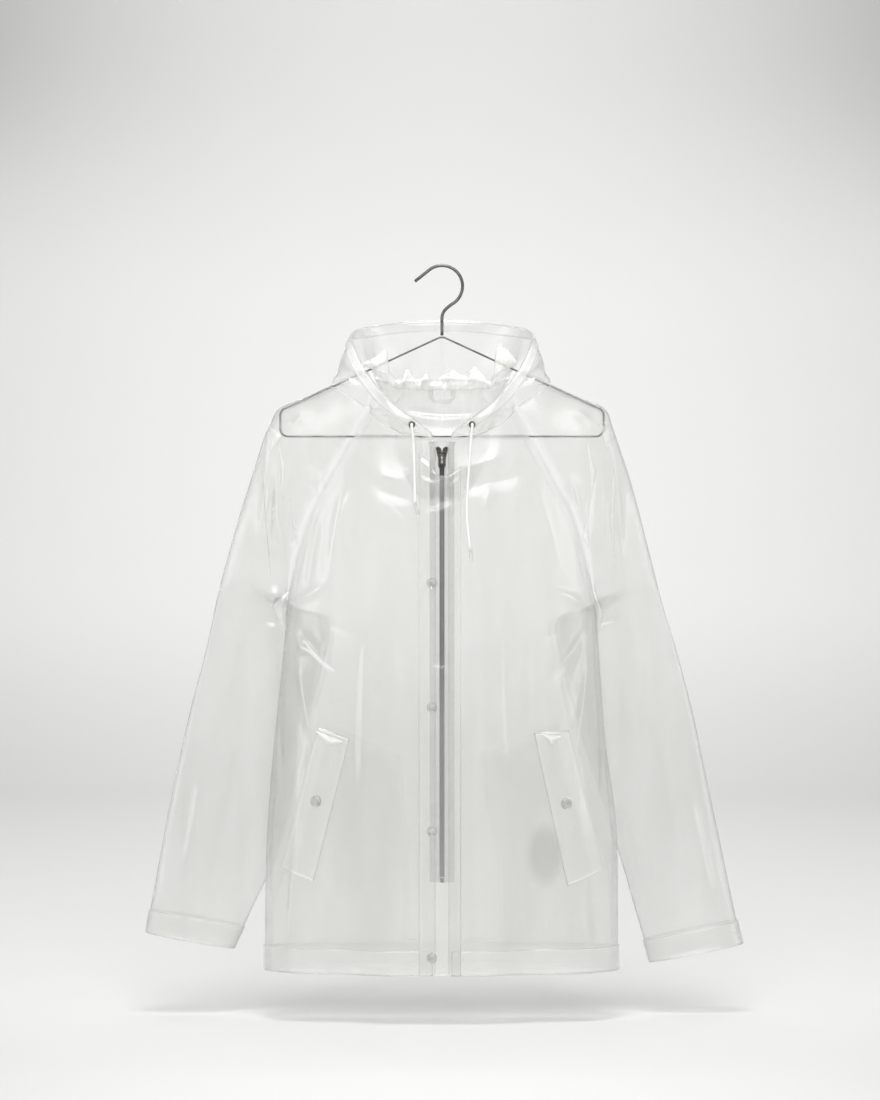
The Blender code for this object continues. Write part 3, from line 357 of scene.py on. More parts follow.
# On the sleeves x is outwards from the centre.
SLEEVE_CREASES = {
    "right": (
        Crease(0.222, -0.212, 0.234, -0.360, 0.0050, 0.0020, 0.004),
        Crease(0.208, -0.240, 0.192, -0.412, 0.0050, 0.0020, -0.006),
        Crease(0.216, -0.256, 0.222, -0.380, 0.0045, -0.0016, 0.002),
        Crease(0.158, -0.258, 0.140, -0.306, 0.0050, 0.0024, 0.002),
        Crease(0.172, -0.250, 0.150, -0.320, 0.0060, -0.0018, 0.002),
        Crease(0.220, -0.384, 0.216, -0.618, 0.0055, 0.0022, 0.006),
        Crease(0.205, -0.405, 0.224, -0.436, 0.0070, 0.0028, 0.002),
        Crease(0.192, -0.452, 0.236, -0.446, 0.0070, -0.0026, 0.003),
        Crease(0.240, -0.430, 0.268, -0.640, 0.0080, 0.0018, -0.008),
        Crease(0.262, -0.560, 0.304, -0.780, 0.0070, -0.0016, 0.006),
        Crease(0.300, -0.600, 0.346, -0.850, 0.0080, 0.0018, 0.005),
        Crease(0.228, -0.640, 0.276, -0.840, 0.0060, 0.0016, -0.005),
        Crease(0.330, -0.800, 0.318, -0.862, 0.0060, 0.0014, 0.001),
        Crease(0.176, -0.190, 0.196, -0.204, 0.0040, 0.0018, 0.001),
    ),
    "left": (
        Crease(0.214, -0.222, 0.228, -0.412, 0.0050, 0.0021, -0.004),
        Crease(0.196, -0.240, 0.182, -0.400, 0.0055, 0.0018, 0.005),
        Crease(0.206, -0.262, 0.214, -0.390, 0.0045, -0.0016, 0.002),
        Crease(0.150, -0.270, 0.166, -0.318, 0.0055, 0.0026, -0.002),
        Crease(0.164, -0.262, 0.178, -0.330, 0.0060, -0.0018, -0.002),
        Crease(0.234, -0.510, 0.236, -0.634, 0.0050, 0.0022, 0.002),
        Crease(0.196, -0.420, 0.214, -0.440, 0.0070, 0.0026, 0.002),
        Crease(0.194, -0.458, 0.230, -0.446, 0.0070, -0.0024, -0.003),
        Crease(0.236, -0.420, 0.262, -0.620, 0.0080, 0.0018, 0.008),
        Crease(0.256, -0.540, 0.300, -0.770, 0.0075, -0.0016, -0.006),
        Crease(0.296, -0.620, 0.350, -0.860, 0.0080, 0.0018, -0.005),
        Crease(0.232, -0.660, 0.280, -0.850, 0.0060, 0.0015, 0.005),
        Crease(0.170, -0.184, 0.192, -0.200, 0.0040, 0.0018, -0.001),
    ),
}
# On the hood across is along its opening, from centre front (0) to centre back (1), and down is
# from the opening (0) to the neck seam (1).
HOOD_CREASES = (
    Crease(0.98, 0.98, 0.80, 0.80, 0.030, 0.0040, 0.02),
    Crease(0.90, 1.00, 0.84, 0.74, 0.022, -0.0040, 0.01),
    Crease(0.84, 1.00, 0.72, 0.80, 0.022, 0.0044, -0.02),
    Crease(0.76, 1.00, 0.68, 0.78, 0.020, -0.0036, 0.01),
    Crease(0.68, 1.00, 0.62, 0.70, 0.022, 0.0040, 0.01),
    Crease(0.55, 0.98, 0.50, 0.30, 0.022, 0.0040, 0.02),
    Crease(0.46, 0.96, 0.42, 0.30, 0.026, -0.0030, 0.01),
    Crease(0.36, 0.96, 0.33, 0.35, 0.022, 0.0024, -0.01),
    Crease(0.24, 0.95, 0.20, 0.30, 0.022, -0.0018, 0.01),
    Crease(1.00, 0.10, 0.60, 0.16, 0.030, 0.0024, 0.02),
    Crease(1.00, 0.36, 0.70, 0.44, 0.040, -0.0040, 0.03),
    Crease(1.00, 0.56, 0.64, 0.50, 0.036, 0.0040, 0.02),
)


def ease(low, high, value):
    """0 below low, 1 above high, smooth between."""
    t = np.clip((value - low) / (high - low), 0.0, 1.0)
    return t * t * (3 - 2 * t)


def mix(a, b, t):
    return a + (b - a) * t


def along(table, column, at):
    """A column's values at `at` in the table's first column, on a smooth curve through its rows."""
    keys = np.array([row[0] for row in table], float)
    values = np.array([getattr(row, column) for row in table], float)
    way = 1.0 if keys[-1] > keys[0] else -1.0
    at = np.clip(np.asarray(at, float), keys.min(), keys.max())
    index = np.clip(np.searchsorted(way * keys, way * at, side="left") - 1, 0, len(keys) - 2)
    place = np.arange(len(keys))
    low, high = np.maximum(place - 1, 0), np.minimum(place + 1, len(keys) - 1)
    slope = (values[high] - values[low]) / (keys[high] - keys[low])
    step = keys[index + 1] - keys[index]
    t = (at - keys[index]) / step
    return (
        (2 * t**3 - 3 * t**2 + 1) * values[index]
        + (t**3 - 2 * t**2 + t) * step * slope[index]
        + (3 * t**2 - 2 * t**3) * values[index + 1]
        + (t**3 - t**2) * step * slope[index + 1]
    )


CREASE_GAIN = 1.7


def crease_depth(creases, x, z):
    """How far the creases stand a surface out at x and z: each a soft ridge with a steeper side."""
    total = np.zeros(np.broadcast(x, z).shape)
    for crease in creases:
        across, down = crease.x1 - crease.x0, crease.z1 - crease.z0
        length = math.hypot(across, down)
        t = ((x - crease.x0) * across + (z - crease.z0) * down) / length**2
        side = ((x - crease.x0) * down - (z - crease.z0) * across) / length
        side = side - crease.bow * 4 * t * (1 - t)
        fade = ease(0.0, 0.35, t) * ease(0.0, 0.45, 1 - t)
        half = np.where(side > 0, crease.half * 0.62, crease.half * 1.3)
        shape = np.exp(-np.abs(side / half) ** 1.7) - 0.3 * np.exp(-((side / (2.6 * half)) ** 2))
        total += CREASE_GAIN * crease.depth * fade * shape
    return total


RIPPLE_WAVES = 14


def ripple(x, z, seed, size):
    """The film's fine unevenness, longer down than across."""
    draw = np.random.default_rng(seed)
    total = np.zeros(np.broadcast(x, z).shape)
    for _ in range(RIPPLE_WAVES):
        across = draw.uniform(30, 190)
        down = draw.uniform(-34, 34)
        turn = draw.uniform(0, 2 * math.pi)
        total += np.sin(across * x + down * z + turn) * (60 / (30 + across)) / RIPPLE_WAVES
    return size * total


# ---- the body's surfaces ----
def fold_depth(folds, x, z):
    depth = np.zeros(np.broadcast(x, z).shape)
    for fold in folds:
        down = (fold.top_z - z) / (fold.top_z - fold.end_z)
        centre = mix(fold.top_x, fold.end_x, down)
        depth += fold.depth * ease(0.0, 0.5, down) * np.exp(-(((x - centre) / fold.half) ** 2))
    return depth


def body_y(face, side, x, z, fine=True):
    """Where the front or back is at x and z, x outwards from the centre."""
    turn = np.radians(along(BODY, "turn", z))
    across = np.minimum(np.abs(x) * np.sin(turn) / along(BODY, side, z), 1.0)
    hollow = (1 - across * across) ** (SECTION_POWER / 2)
    depth = along(BODY, face, z) * hollow
    folds = FRONT_FOLDS if face == "front" else BACK_FOLDS
    signed = SIGN[side] * x
    depth = depth + fold_depth(folds, signed, z) * np.minimum(1.0, 2.0 * hollow)
    if fine:
        creases = FRONT_CREASES if face == "front" else BACK_CREASES
        room = np.minimum(1.0, 2.2 * hollow)
        if face == "front":
            room = room * ease(0.004, 0.034, np.abs(x))
        detail = crease_depth(creases, signed, z) + ripple(signed, z, len(face), 0.0010)
        depth = depth + detail * room
    return SIDE_Y - depth if face == "front" else SIDE_Y + depth


def front_edge_x(z):
    return FRONT_EDGE_X + NECK_FLARE * np.maximum(0.0, z - ZIP_TOP_Z)


def body_x(side, u, z, inner):
    turn = np.radians(along(BODY, "turn", z))
    return mix(inner, along(BODY, side, z), np.sin(u * turn) / np.sin(turn))


def points(x, y, z):
    return np.stack(np.broadcast_arrays(x, y, z), axis=-1).astype(float)


def front_place(side, fine=True):
    def place(u, v):
        top = mix(NECK_Z["front"], RAGLAN_TOP_Z["front"], u**1.25)
        z = mix(top, HEM_Z, v)
        x = body_x(side, u, z, front_edge_x(z))
        return points(SIGN[side] * x, body_y("front", side, x, z, fine) - SEAM, z)

    return place


def back_place(u, v, fine=True):
    out = np.abs(2 * u - 1)
    z = mix(mix(NECK_Z["back"], RAGLAN_TOP_Z["back"], out**2), HEM_Z, v)
    x = {side: body_x(side, out, z, 0.0) for side in SIDES}
    y = {side: body_y("back", side, x[side], z, fine) for side in SIDES}
    right = u < 0.5
    return points(np.where(right, -x["right"], x["left"]), np.where(right, y["right"], y["left"]) + SEAM, z)


# ---- the sleeves' surfaces ----
def unit(vectors):
    return vectors / np.maximum(np.linalg.norm(vectors, axis=-1, keepdims=True), 1e-12)


def sleeve_ends(side, v):
    """The sleeve's edges in front and behind, its outer line, and how closed its section is."""
    outer = points(*(along(OUTER[side], column, v) for column in "xyz"))
    low = points(*(along(INNER[side], column, v) for column in "xyz"))
    low[..., 0] += mix(ARMPIT_INSET, 0.0, ease(ARMPIT_V, ARMPIT_V + 0.05, v))
    down = np.minimum(v / ARMPIT_V, 1.0)
    closed = ease(0.75, 1.0, down)
    below = (v >= ARMPIT_V)[..., None]
    ends = []
    for face in ("front", "back"):
        z = mix(RAGLAN_TOP_Z[face], ARMPIT_Z, down)
        x = along(BODY, side, z)
        y = mix(body_y(face, side, x, z, False), 0.0, closed)
        end = points(x, y, z)
        end += unit(outer - end) * mix(RAGLAN_INSET, ARMPIT_INSET, closed)[..., None]
        ends.append(np.where(below, low, end))
    return ends[0], ends[1], outer, np.where(v >= ARMPIT_V, 1.0, closed)


def sleeve_smooth(side, u, v):
    front, back, outer, closed = sleeve_ends(side, v)
    bulge = along(OUTER[side], "bulge", v)
    angle = math.pi * u
    inner = np.where((u < 0.5)[..., None], front, back)
    share = mix(np.sin(angle), np.sin(angle) ** 2, closed)
    place = mix(inner, outer, share[..., None])
    middle = mix((front[..., 1] + back[..., 1]) / 2, outer[..., 1], share)
    half = (back[..., 1] - front[..., 1]) / 2
    y = middle - half * np.cos(angle) - bulge * np.sin(2 * angle)
    return points(SIGN[side] * place[..., 0], y, place[..., 2])


def sleeve_place(side):
    def place(u, v):
        at = sleeve_smooth(side, u, v)
        x, z = SIGN[side] * at[..., 0], at[..., 2]
        detail = crease_depth(SLEEVE_CREASES[side], x, z) + ripple(x, z, 7 + len(side), 0.0012)
        front = 1 - 2 * ease(0.46, 0.54, u)
        seam = ease(0.0, 0.05, np.minimum(u, 1 - u)) * ease(0.0, 0.02, v)
        at[..., 1] -= detail * front * seam
        return at

    return place


# ---- the hood's surface ----
def neck_place(side, w):
    front = front_place(side, False)(np.minimum(w / NECK_FRONT_W, 1.0), np.zeros_like(w))
    over = np.clip((w - NECK_FRONT_W) / (NECK_BACK_W - NECK_FRONT_W), 0.0, 1.0)
    sleeve = sleeve_smooth(side, over, np.zeros_like(w))
    out = np.clip((1 - w) / (1 - NECK_BACK_W), 0.0, 1.0)
    back = back_place(
        0.5 + SIGN[side] * out / 2 + (1e-9 if side == "left" else -1e-9), np.zeros_like(w), False
    )
    place = np.where((w < NECK_FRONT_W)[..., None], front, sleeve)
    return np.where((w >= NECK_BACK_W)[..., None], back, place)


def hood_line(side, w):
    """The hood's film at w, from its opening to the neck seam, as four control points."""
    rim = points(SIGN[side] * along(RIM, "x", w), along(RIM, "y", w), along(RIM, "z", w))
    neck = neck_place(side, w)
    bag = ease(BAG_START, BAG_FULL, w)[..., None]
    neck[..., 1] += 0.004 * ease(NECK_FRONT_W + 0.1, NECK_BACK_W + 0.1, w)
    neck[..., 2] += HOOD_LIFT
    length = np.linalg.norm(neck - rim, axis=-1, keepdims=True)
    swell = np.array((SIGN[side] * 0.30, -0.20, 0.0)) * length * (1 - bag)
    swell = swell * ease(0.0, 0.2, w)[..., None] * 0.4
    upper = mix(rim, neck, 1 / 3) + swell + BAG_OUT * bag
    lower = mix(rim, neck, 2 / 3) + swell + BAG_IN * bag
    return rim, upper, lower, neck


def bezier(line, t):
    a, b, c, d = line
    t = np.asarray(t, float)[..., None]
    return a * (1 - t) ** 3 + b * 3 * t * (1 - t) ** 2 + c * 3 * t * t * (1 - t) + d * t**3


def hood_place(side, reach=None, out=0.0, fine=True):
    """The hood's film, or with reach a strip of that width along its opening, moved out."""

    def place(u, v):
        w = np.where(u > 0.5, np.minimum(u, 1 - SEAM / 0.2), u)
        line = hood_line(side, w)
        share = v * np.ones_like(w)
        if reach:
            lengths = np.linalg.norm(bezier(line, 0.02 * np.ones_like(w)) - line[0], axis=-1) / 0.02
            share = v * np.minimum(reach / lengths, 0.80)
        at = bezier(line, share)
        before, after = hood_line(side, np.maximum(w - 0.01, 0.0)), hood_line(side, np.minimum(w + 0.01, 1.0))
        ahead = bezier(after, share) - bezier(before, share)
        down = bezier(line, share + 0.02) - bezier(line, np.maximum(share - 0.02, 0.0))
        normal = unit(np.cross(down, ahead)) * SIGN[side]
        at[..., 0] += SIGN[side] * SEAM * ease(0.9, 1.0, u)
        moved = out
        if fine and not reach:
            edge = ease(0.02, 0.16, share) * ease(0.0, 0.10, 1 - share) * ease(0.0, 0.05, 1 - w)
            uneven = crease_depth(HOOD_CREASES, w, share) + ripple(w * 0.4, share * 0.2, 5, 0.0012)
            moved = moved + uneven * edge
        return at + normal * np.asarray(moved, float)[..., None]

    return place


# ---- places on the fronts ----
def on_front(x, z, out=0.0):
    """Places on the fronts, x from the wearer's right, moved out of the film."""
    x, z = np.broadcast_arrays(np.asarray(x, float), np.asarray(z, float))

    def height(a, b):
        right = body_y("front", "right", np.abs(a), b)
        left = body_y("front", "left", np.abs(a), b)
        return np.where(a < 0, right, left) - SEAM

    e = 0.002
    y = height(x, z)
    slope_x = (height(x + e, z) - height(x - e, z)) / (2 * e)
    slope_z = (height(x, z + e) - height(x, z - e)) / (2 * e)
    normal = unit(points(slope_x, -np.ones_like(x), slope_z))
    return points(x, y, z) + normal * np.asarray(out, float)[..., None]


def lifted(place, facing):
    """A surface's points moved out of it; facing says which of its sides is out."""

    def moved(u, v, out):
        e = 0.004
        across = place(np.minimum(u + e, 1.0), v) - place(np.maximum(u - e, 0.0), v)
        down = place(u, np.minimum(v + e, 1.0)) - place(u, np.maximum(v - e, 0.0))
        normal = unit(np.cross(down, across)) * facing
        return place(u, v) + normal * np.asarray(out, float)[..., None]

    return moved


FRONT_OUT = {"right": lifted(front_place("right"), 1.0), "left": lifted(front_place("left"), -1.0)}
SLEEVE_OUT = {"right": lifted(sleeve_place("right"), 1.0), "left": lifted(sleeve_place("left"), -1.0)}
BACK_OUT_OF = lifted(back_place, -1.0)

# ---- what a user would change ----
class RaincoatSizes(bpy.types.PropertyGroup):
    """Sizes of the film, the trims and the studio."""

    film_wall: bpy.props.FloatProperty(
        name="Film", description="Thickness of the film", default=0.0004, min=0.0002, max=0.0009,
        precision=5, unit="LENGTH",
    )
    grid_step: bpy.props.FloatProperty(
        name="Grid step", description="Size of the film's faces", default=0.0032, min=0.002, max=0.02,
        precision=4, unit="LENGTH",
    )
    stitch_pitch: bpy.props.FloatProperty(
        name="Stitch", description="From one stitch to the next", default=0.0032, min=0.002, max=0.006,
        precision=4, unit="LENGTH",
    )
    tooth_pitch: bpy.props.FloatProperty(
        name="Tooth pitch", description="From one zip tooth to the next on its side", default=0.0025,
        min=0.002, max=0.005, precision=4, unit="LENGTH",
    )
    floor_z: bpy.props.FloatProperty(
        name="Floor", description="Height of the studio's floor", default=-0.955, unit="LENGTH",
    )
    camera_distance: bpy.props.FloatProperty(
        name="Camera distance", description="From the camera to the hanger", default=3.5, min=1.0,
        unit="LENGTH",
    )


def colour(label, words, default):
    return bpy.props.FloatVectorProperty(
        name=label, description=words, default=default, min=0.0, max=1.0, size=3, subtype="COLOR"
    )


class RaincoatColours(bpy.types.PropertyGroup):
    """Colours of the pieces and the studio, and how clear the film is."""

    film: colour("Film", "Tint of the film", (0.888, 0.890, 0.872))
    haze: bpy.props.FloatProperty(
        name="Haze", description="How much of the film is frosted, from 0 to 1", default=0.46,
        min=0.0, max=1.0, subtype="FACTOR",
    )
    wire: colour("Wire", "The hanger's wire", (0.115, 0.115, 0.110))
    cord: colour("Cord", "The drawstring", (0.78, 0.78, 0.77))
    tape: colour("Zip tape", "The zip's tapes", (0.60, 0.60, 0.585))
    teeth: colour("Zip", "The zip's metal", (0.050, 0.050, 0.046))
    thread: colour("Thread", "The stitching", (0.96, 0.96, 0.95))
    plastic: colour("Snaps", "Snaps and cord tips", (0.93, 0.93, 0.92))
    backdrop: colour("Backdrop", "The studio's paper", (0.80, 0.802, 0.795))


def sizes():
    return bpy.context.scene.raincoat_sizes


def colours():
    return bpy.context.scene.raincoat_colours


# ---- materials ----
class Nodes:
    """Adds and links the nodes of one tree."""

    def __init__(self, tree):
        self.tree = tree

    def add(self, kind, **settings):
        node = self.tree.nodes.new(kind)
        for key, value in settings.items():
            setattr(node, key, value)
        return node

    def feed(self, socket, value):
        if isinstance(value, bpy.types.NodeSocket):
            self.tree.links.new(value, socket)
        else:
            socket.default_value = value

    def maths(self, operation, *values, clamp=False):
        node = self.add("ShaderNodeMath", operation=operation, use_clamp=clamp)
        for socket, value in zip(node.inputs, values):
            self.feed(socket, value)
        return node.outputs[0]

    def blend(self, factor, first, second):
        node = self.add("ShaderNodeMix", data_type="RGBA")
        self.feed(node.inputs["Factor"], factor)
        self.feed(node.inputs[6], first)
        self.feed(node.inputs[7], second)
        return node.outputs[2]

    def noise(self, vector, scale, detail=3.0, roughness=0.5):
        node = self.add("ShaderNodeTexNoise")
        self.feed(node.inputs["Vector"], vector)
        node.inputs["Scale"].default_value = scale
        node.inputs["Detail"].default_value = detail
        node.inputs["Roughness"].default_value = roughness
        return node.outputs["Fac"]

    def spread(self, value, low, high, start=0.0, end=1.0):
        node = self.add("ShaderNodeMapRange", interpolation_type="SMOOTHSTEP")
        self.feed(node.inputs["Value"], value)
        node.inputs["From Min"].default_value = low
        node.inputs["From Max"].default_value = high
        node.inputs["To Min"].default_value = start
        node.inputs["To Max"].default_value = end
        return node.outputs[0]

    def bump(self, height, strength, distance):
        node = self.add("ShaderNodeBump")
        node.inputs["Strength"].default_value = strength
        node.inputs["Distance"].default_value = distance
        self.feed(node.inputs["Height"], height)
        return node.outputs["Normal"]

    def stretched(self, vector, scale):
        node = self.add("ShaderNodeMapping")
        self.feed(node.inputs["Vector"], vector)
        node.inputs["Scale"].default_value = scale
        return node.outputs["Vector"]


def new_group(name, inputs, outputs):
    """An empty node group with the named inputs (name, kind, default) and outputs (name, kind)."""
    group = bpy.data.node_groups.new(name, "ShaderNodeTree")
    for label, kind, default in inputs:
        socket = group.interface.new_socket(label, in_out="INPUT", socket_type=kind)
        if default is not None:
            socket.default_value = default
    for label, kind in outputs:
        group.interface.new_socket(label, in_out="OUTPUT", socket_type=kind)
    nodes = Nodes(group)
    return nodes, nodes.add("NodeGroupInput").outputs, nodes.add("NodeGroupOutput").inputs, group


def film_group():
    """Frosted film: its tint, how much of it shows, its gloss and the fine pebbling of its faces, with
    painted shade that darkens it towards the bottom.
    """
    found = bpy.data.node_groups.get("Frosted film")
    if found:
        return found
    nodes, given, made, group = new_group(
        "Frosted film",
        (
            ("Vector", "NodeSocketVector", None),
            ("Tint", "NodeSocketColor", (1, 1, 1, 1)),
            ("Haze", "NodeSocketFloat", 0.5),
            ("Worn", "NodeSocketFloat", 0.0),
            ("Shade", "NodeSocketFloat", 0.0),
        ),
        (
            ("Colour", "NodeSocketColor"),
            ("Alpha", "NodeSocketFloat"),
            ("Roughness", "NodeSocketFloat"),
            ("Coat", "NodeSocketFloat"),
            ("Height", "NodeSocketFloat"),
        ),
    )
    drawn = nodes.stretched(given["Vector"], (1.0, 1.0, 0.35))
    cloud = nodes.noise(drawn, 16.0, 4.0, 0.55)
    fine = nodes.noise(given["Vector"], 900.0, 2.0)
    broad = nodes.noise(drawn, 60.0, 3.0)
    darker = nodes.maths("MULTIPLY", nodes.spread(cloud, 0.30, 0.75), 0.030)
    split = nodes.add("ShaderNodeSeparateXYZ")
    nodes.feed(split.inputs[0], given["Vector"])
    # painted shade: darker towards the bottom of the coat, where less light falls
    darker = nodes.maths("ADD", darker, nodes.spread(split.outputs[2], -0.50, -0.80, 0.0, 0.03))
    darker = nodes.maths("ADD", darker, nodes.maths("MULTIPLY", given["Shade"], 0.33))
    streaks = nodes.noise(nodes.stretched(given["Vector"], (1.0, 1.0, 0.05)), 38.0, 3.0, 0.5)
    streaks = nodes.spread(streaks, 0.30, 0.72)
    darker = nodes.maths("ADD", darker, nodes.maths("MULTIPLY", streaks, 0.022))
    alpha = nodes.maths(
        "ADD", given["Haze"], nodes.maths("MULTIPLY", nodes.maths("MAXIMUM", given["Worn"], 0.0), 0.16)
    )
    alpha = nodes.maths(
        "ADD", alpha, nodes.maths("MULTIPLY", nodes.maths("MINIMUM", given["Worn"], 0.0), 0.42)
    )
    alpha = nodes.maths("ADD", alpha, nodes.maths("MULTIPLY", streaks, 0.10))
    alpha = nodes.maths("ADD", alpha, nodes.spread(cloud, 0.25, 0.80, -0.08, 0.10))
    alpha = nodes.maths("ADD", alpha, nodes.maths("MULTIPLY", given["Shade"], 0.35))
    nodes.feed(made["Colour"], nodes.blend(darker, given["Tint"], (0.42, 0.43, 0.42, 1.0)))
    nodes.feed(made["Alpha"], nodes.maths("MINIMUM", nodes.maths("MAXIMUM", alpha, 0.05), 1.0))
    rough = nodes.spread(broad, 0.2, 0.8, 0.10, 0.20)
    nodes.feed(made["Roughness"], nodes.maths("ADD", rough, nodes.maths("MULTIPLY", given["Worn"], 0.05)))
    glossy = nodes.maths("ADD", nodes.maths("MULTIPLY", given["Worn"], 0.70), 0.15)
    nodes.feed(made["Coat"], nodes.maths("MAXIMUM", glossy, 0.0))
    nodes.feed(made["Height"], nodes.maths("ADD", nodes.maths("MULTIPLY", fine, 0.25), broad))
    return group


def new_material(name):
    material = bpy.data.materials.new(name)
    material.use_nodes = True
    return material, Nodes(material.node_tree), material.node_tree.nodes["Principled BSDF"]


def film_material(name, haze=0.0, tint=1.0, milk=0.0, shade=None, thin=None):
    """A film finish: haze over the coat's own, its tint, its milkiness, and a grey patch if it has one. A
    tint above 1 makes a lighter copy of the film: painted lightening that offsets the shade where layers of
    film stack.
    """
    material, nodes, shader = new_material(name)
    place = nodes.add("ShaderNodeTexCoord").outputs["Object"]
    look = nodes.add("ShaderNodeGroup", node_tree=film_group())
    nodes.feed(look.inputs["Vector"], place)
    # tints above 1 make lighter copies of the film: painted lightening against the shade of stacked layers
    look.inputs["Tint"].default_value = (*(min(1.0, value * tint) for value in colours().film), 1.0)
    look.inputs["Haze"].default_value = colours().haze + haze
    nodes.feed(look.inputs["Worn"], nodes.add("ShaderNodeAttribute", attribute_name="worn").outputs["Fac"])
    if thin:
        nodes.feed(look.inputs["Haze"], nodes.maths("SUBTRACT", colours().haze + haze, thin(nodes, place)))
    if shade:
        nodes.feed(look.inputs["Shade"], shade(nodes, place))
    nodes.feed(shader.inputs["Base Color"], look.outputs["Colour"])
    nodes.feed(shader.inputs["Alpha"], look.outputs["Alpha"])
    nodes.feed(shader.inputs["Roughness"], look.outputs["Roughness"])
    nodes.feed(shader.inputs["Normal"], nodes.bump(look.outputs["Height"], 0.12, 0.0004))
    shader.inputs["Transmission Weight"].default_value = 0.90 - milk
    shader.inputs["IOR"].default_value = 1.42
    nodes.feed(shader.inputs["Coat Weight"], look.outputs["Coat"])
    shader.inputs["Coat Roughness"].default_value = 0.14
    shader.inputs["Coat IOR"].default_value = 1.8
    return material


def edge_material(name):
    """The film's cut edge: clear, with a little of the film's haze."""
    material, nodes, shader = new_material(name)
    place = nodes.add("ShaderNodeTexCoord").outputs["Object"]
    cut = nodes.noise(place, 500.0, 2.0)
    nodes.feed(
        shader.inputs["Base Color"], nodes.blend(cut, (0.96, 0.96, 0.95, 1.0), (0.88, 0.88, 0.87, 1.0))
    )
    nodes.feed(shader.inputs["Alpha"], nodes.spread(cut, 0.2, 0.8, 0.10, 0.26))
    shader.inputs["Roughness"].default_value = 0.45
    return material


def metal_material(name, base, roughness, scale, grain):
    """Drawn or plated metal, with fine scratches along it and rubbed patches."""
    material, nodes, shader = new_material(name)
    place = nodes.add("ShaderNodeTexCoord").outputs["Object"]
    rubbed = nodes.spread(nodes.noise(place, scale, 4.0, 0.6), 0.35, 0.75)
    lighter = tuple(min(1.0, value * 1.6 + 0.01) for value in base)
    nodes.feed(shader.inputs["Base Color"], nodes.blend(rubbed, (*base, 1.0), (*lighter, 1.0)))
    nodes.feed(
        shader.inputs["Roughness"], nodes.maths("ADD", nodes.maths("MULTIPLY", rubbed, 0.12), roughness)
    )
    scratches = nodes.noise(nodes.stretched(place, (1.0, 1.0, 0.15)), grain, 2.0)
    nodes.feed(shader.inputs["Normal"], nodes.bump(scratches, 0.15, 0.0001))
    shader.inputs["Metallic"].default_value = 1.0
    return material


def plastic_material(name):
    """Clear moulded plastic with a faint flow pattern."""
    material, nodes, shader = new_material(name)
    place = nodes.add("ShaderNodeTexCoord").outputs["Object"]
    flow = nodes.noise(place, 240.0, 3.0)
    base = (*colours().plastic, 1.0)
    nodes.feed(shader.inputs["Base Color"], nodes.blend(flow, base, (0.84, 0.85, 0.84, 1.0)))
    nodes.feed(shader.inputs["Roughness"], nodes.spread(flow, 0.2, 0.8, 0.10, 0.22))
    nodes.feed(shader.inputs["Normal"], nodes.bump(flow, 0.05, 0.0002))
    shader.inputs["Transmission Weight"].default_value = 0.85
    shader.inputs["IOR"].default_value = 1.46
    shader.inputs["Alpha"].default_value = 0.55
    return material


def cord_material():
    """A round braid: two sets of strands crossing, on the cord's own map."""
    material, nodes, shader = new_material("Braided cord")
    map_ = nodes.add("ShaderNodeUVMap", uv_map="Run").outputs["UV"]
    split = nodes.add("ShaderNodeSeparateXYZ")
    nodes.feed(split.inputs[0], map_)
    round_, run = split.outputs[0], split.outputs[1]
    strands = []
    for way in (1.0, -1.0):
        turn = nodes.maths(
            "ADD", nodes.maths("MULTIPLY", run, 1500.0), nodes.maths("MULTIPLY", round_, way * 25.13)
        )
        strands.append(nodes.maths("ABSOLUTE", nodes.maths("SINE", turn)))
    braid = nodes.maths("MAXIMUM", *strands)
    base = (*colours().cord, 1.0)
    nodes.feed(
        shader.inputs["Base Color"], nodes.blend(nodes.spread(braid, 0.1, 0.8), (0.62, 0.62, 0.61, 1.0), base)
    )
    nodes.feed(shader.inputs["Normal"], nodes.bump(braid, 0.5, 0.0003))
    nodes.feed(shader.inputs["Roughness"], nodes.spread(braid, 0.0, 1.0, 0.85, 0.70))
    shader.inputs["Sheen Weight"].default_value = 0.3
    return material


def tape_material():
    """Woven zip tape: fine ribs down it and threads across."""
    material, nodes, shader = new_material("Zip tape")
    place = nodes.add("ShaderNodeTexCoord").outputs["Object"]
    split = nodes.add("ShaderNodeSeparateXYZ")
    nodes.feed(split.inputs[0], place)
    ribs = nodes.maths("SINE", nodes.maths("MULTIPLY", split.outputs[0], 6200.0))
    picks = nodes.maths("SINE", nodes.maths("MULTIPLY", split.outputs[2], 5200.0))
    weave = nodes.maths("MULTIPLY", ribs, picks)
    cloud = nodes.noise(place, 70.0, 3.0)
    base = colours().tape
    darker = tuple(value * 0.72 for value in base)
    tone = nodes.maths("ADD", nodes.maths("MULTIPLY", weave, 0.25), cloud)
    nodes.feed(
        shader.inputs["Base Color"], nodes.blend(nodes.spread(tone, 0.2, 0.9), (*darker, 1.0), (*base, 1.0))
    )
    nodes.feed(shader.inputs["Normal"], nodes.bump(weave, 0.3, 0.0002))
    shader.inputs["Roughness"].default_value = 0.85
    shader.inputs["Alpha"].default_value = 0.24
    return material


def thread_material():
    """Spun thread with a faint twist."""
    material, nodes, shader = new_material("Thread")
    place = nodes.add("ShaderNodeTexCoord").outputs["Object"]
    twist = nodes.noise(place, 1800.0, 2.0)
    base = (*colours().thread, 1.0)
    nodes.feed(shader.inputs["Base Color"], nodes.blend(twist, (0.86, 0.86, 0.85, 1.0), base))
    nodes.feed(shader.inputs["Normal"], nodes.bump(twist, 0.3, 0.0002))
    shader.inputs["Roughness"].default_value = 0.6
    shader.inputs["Alpha"].default_value = 0.38
    return material


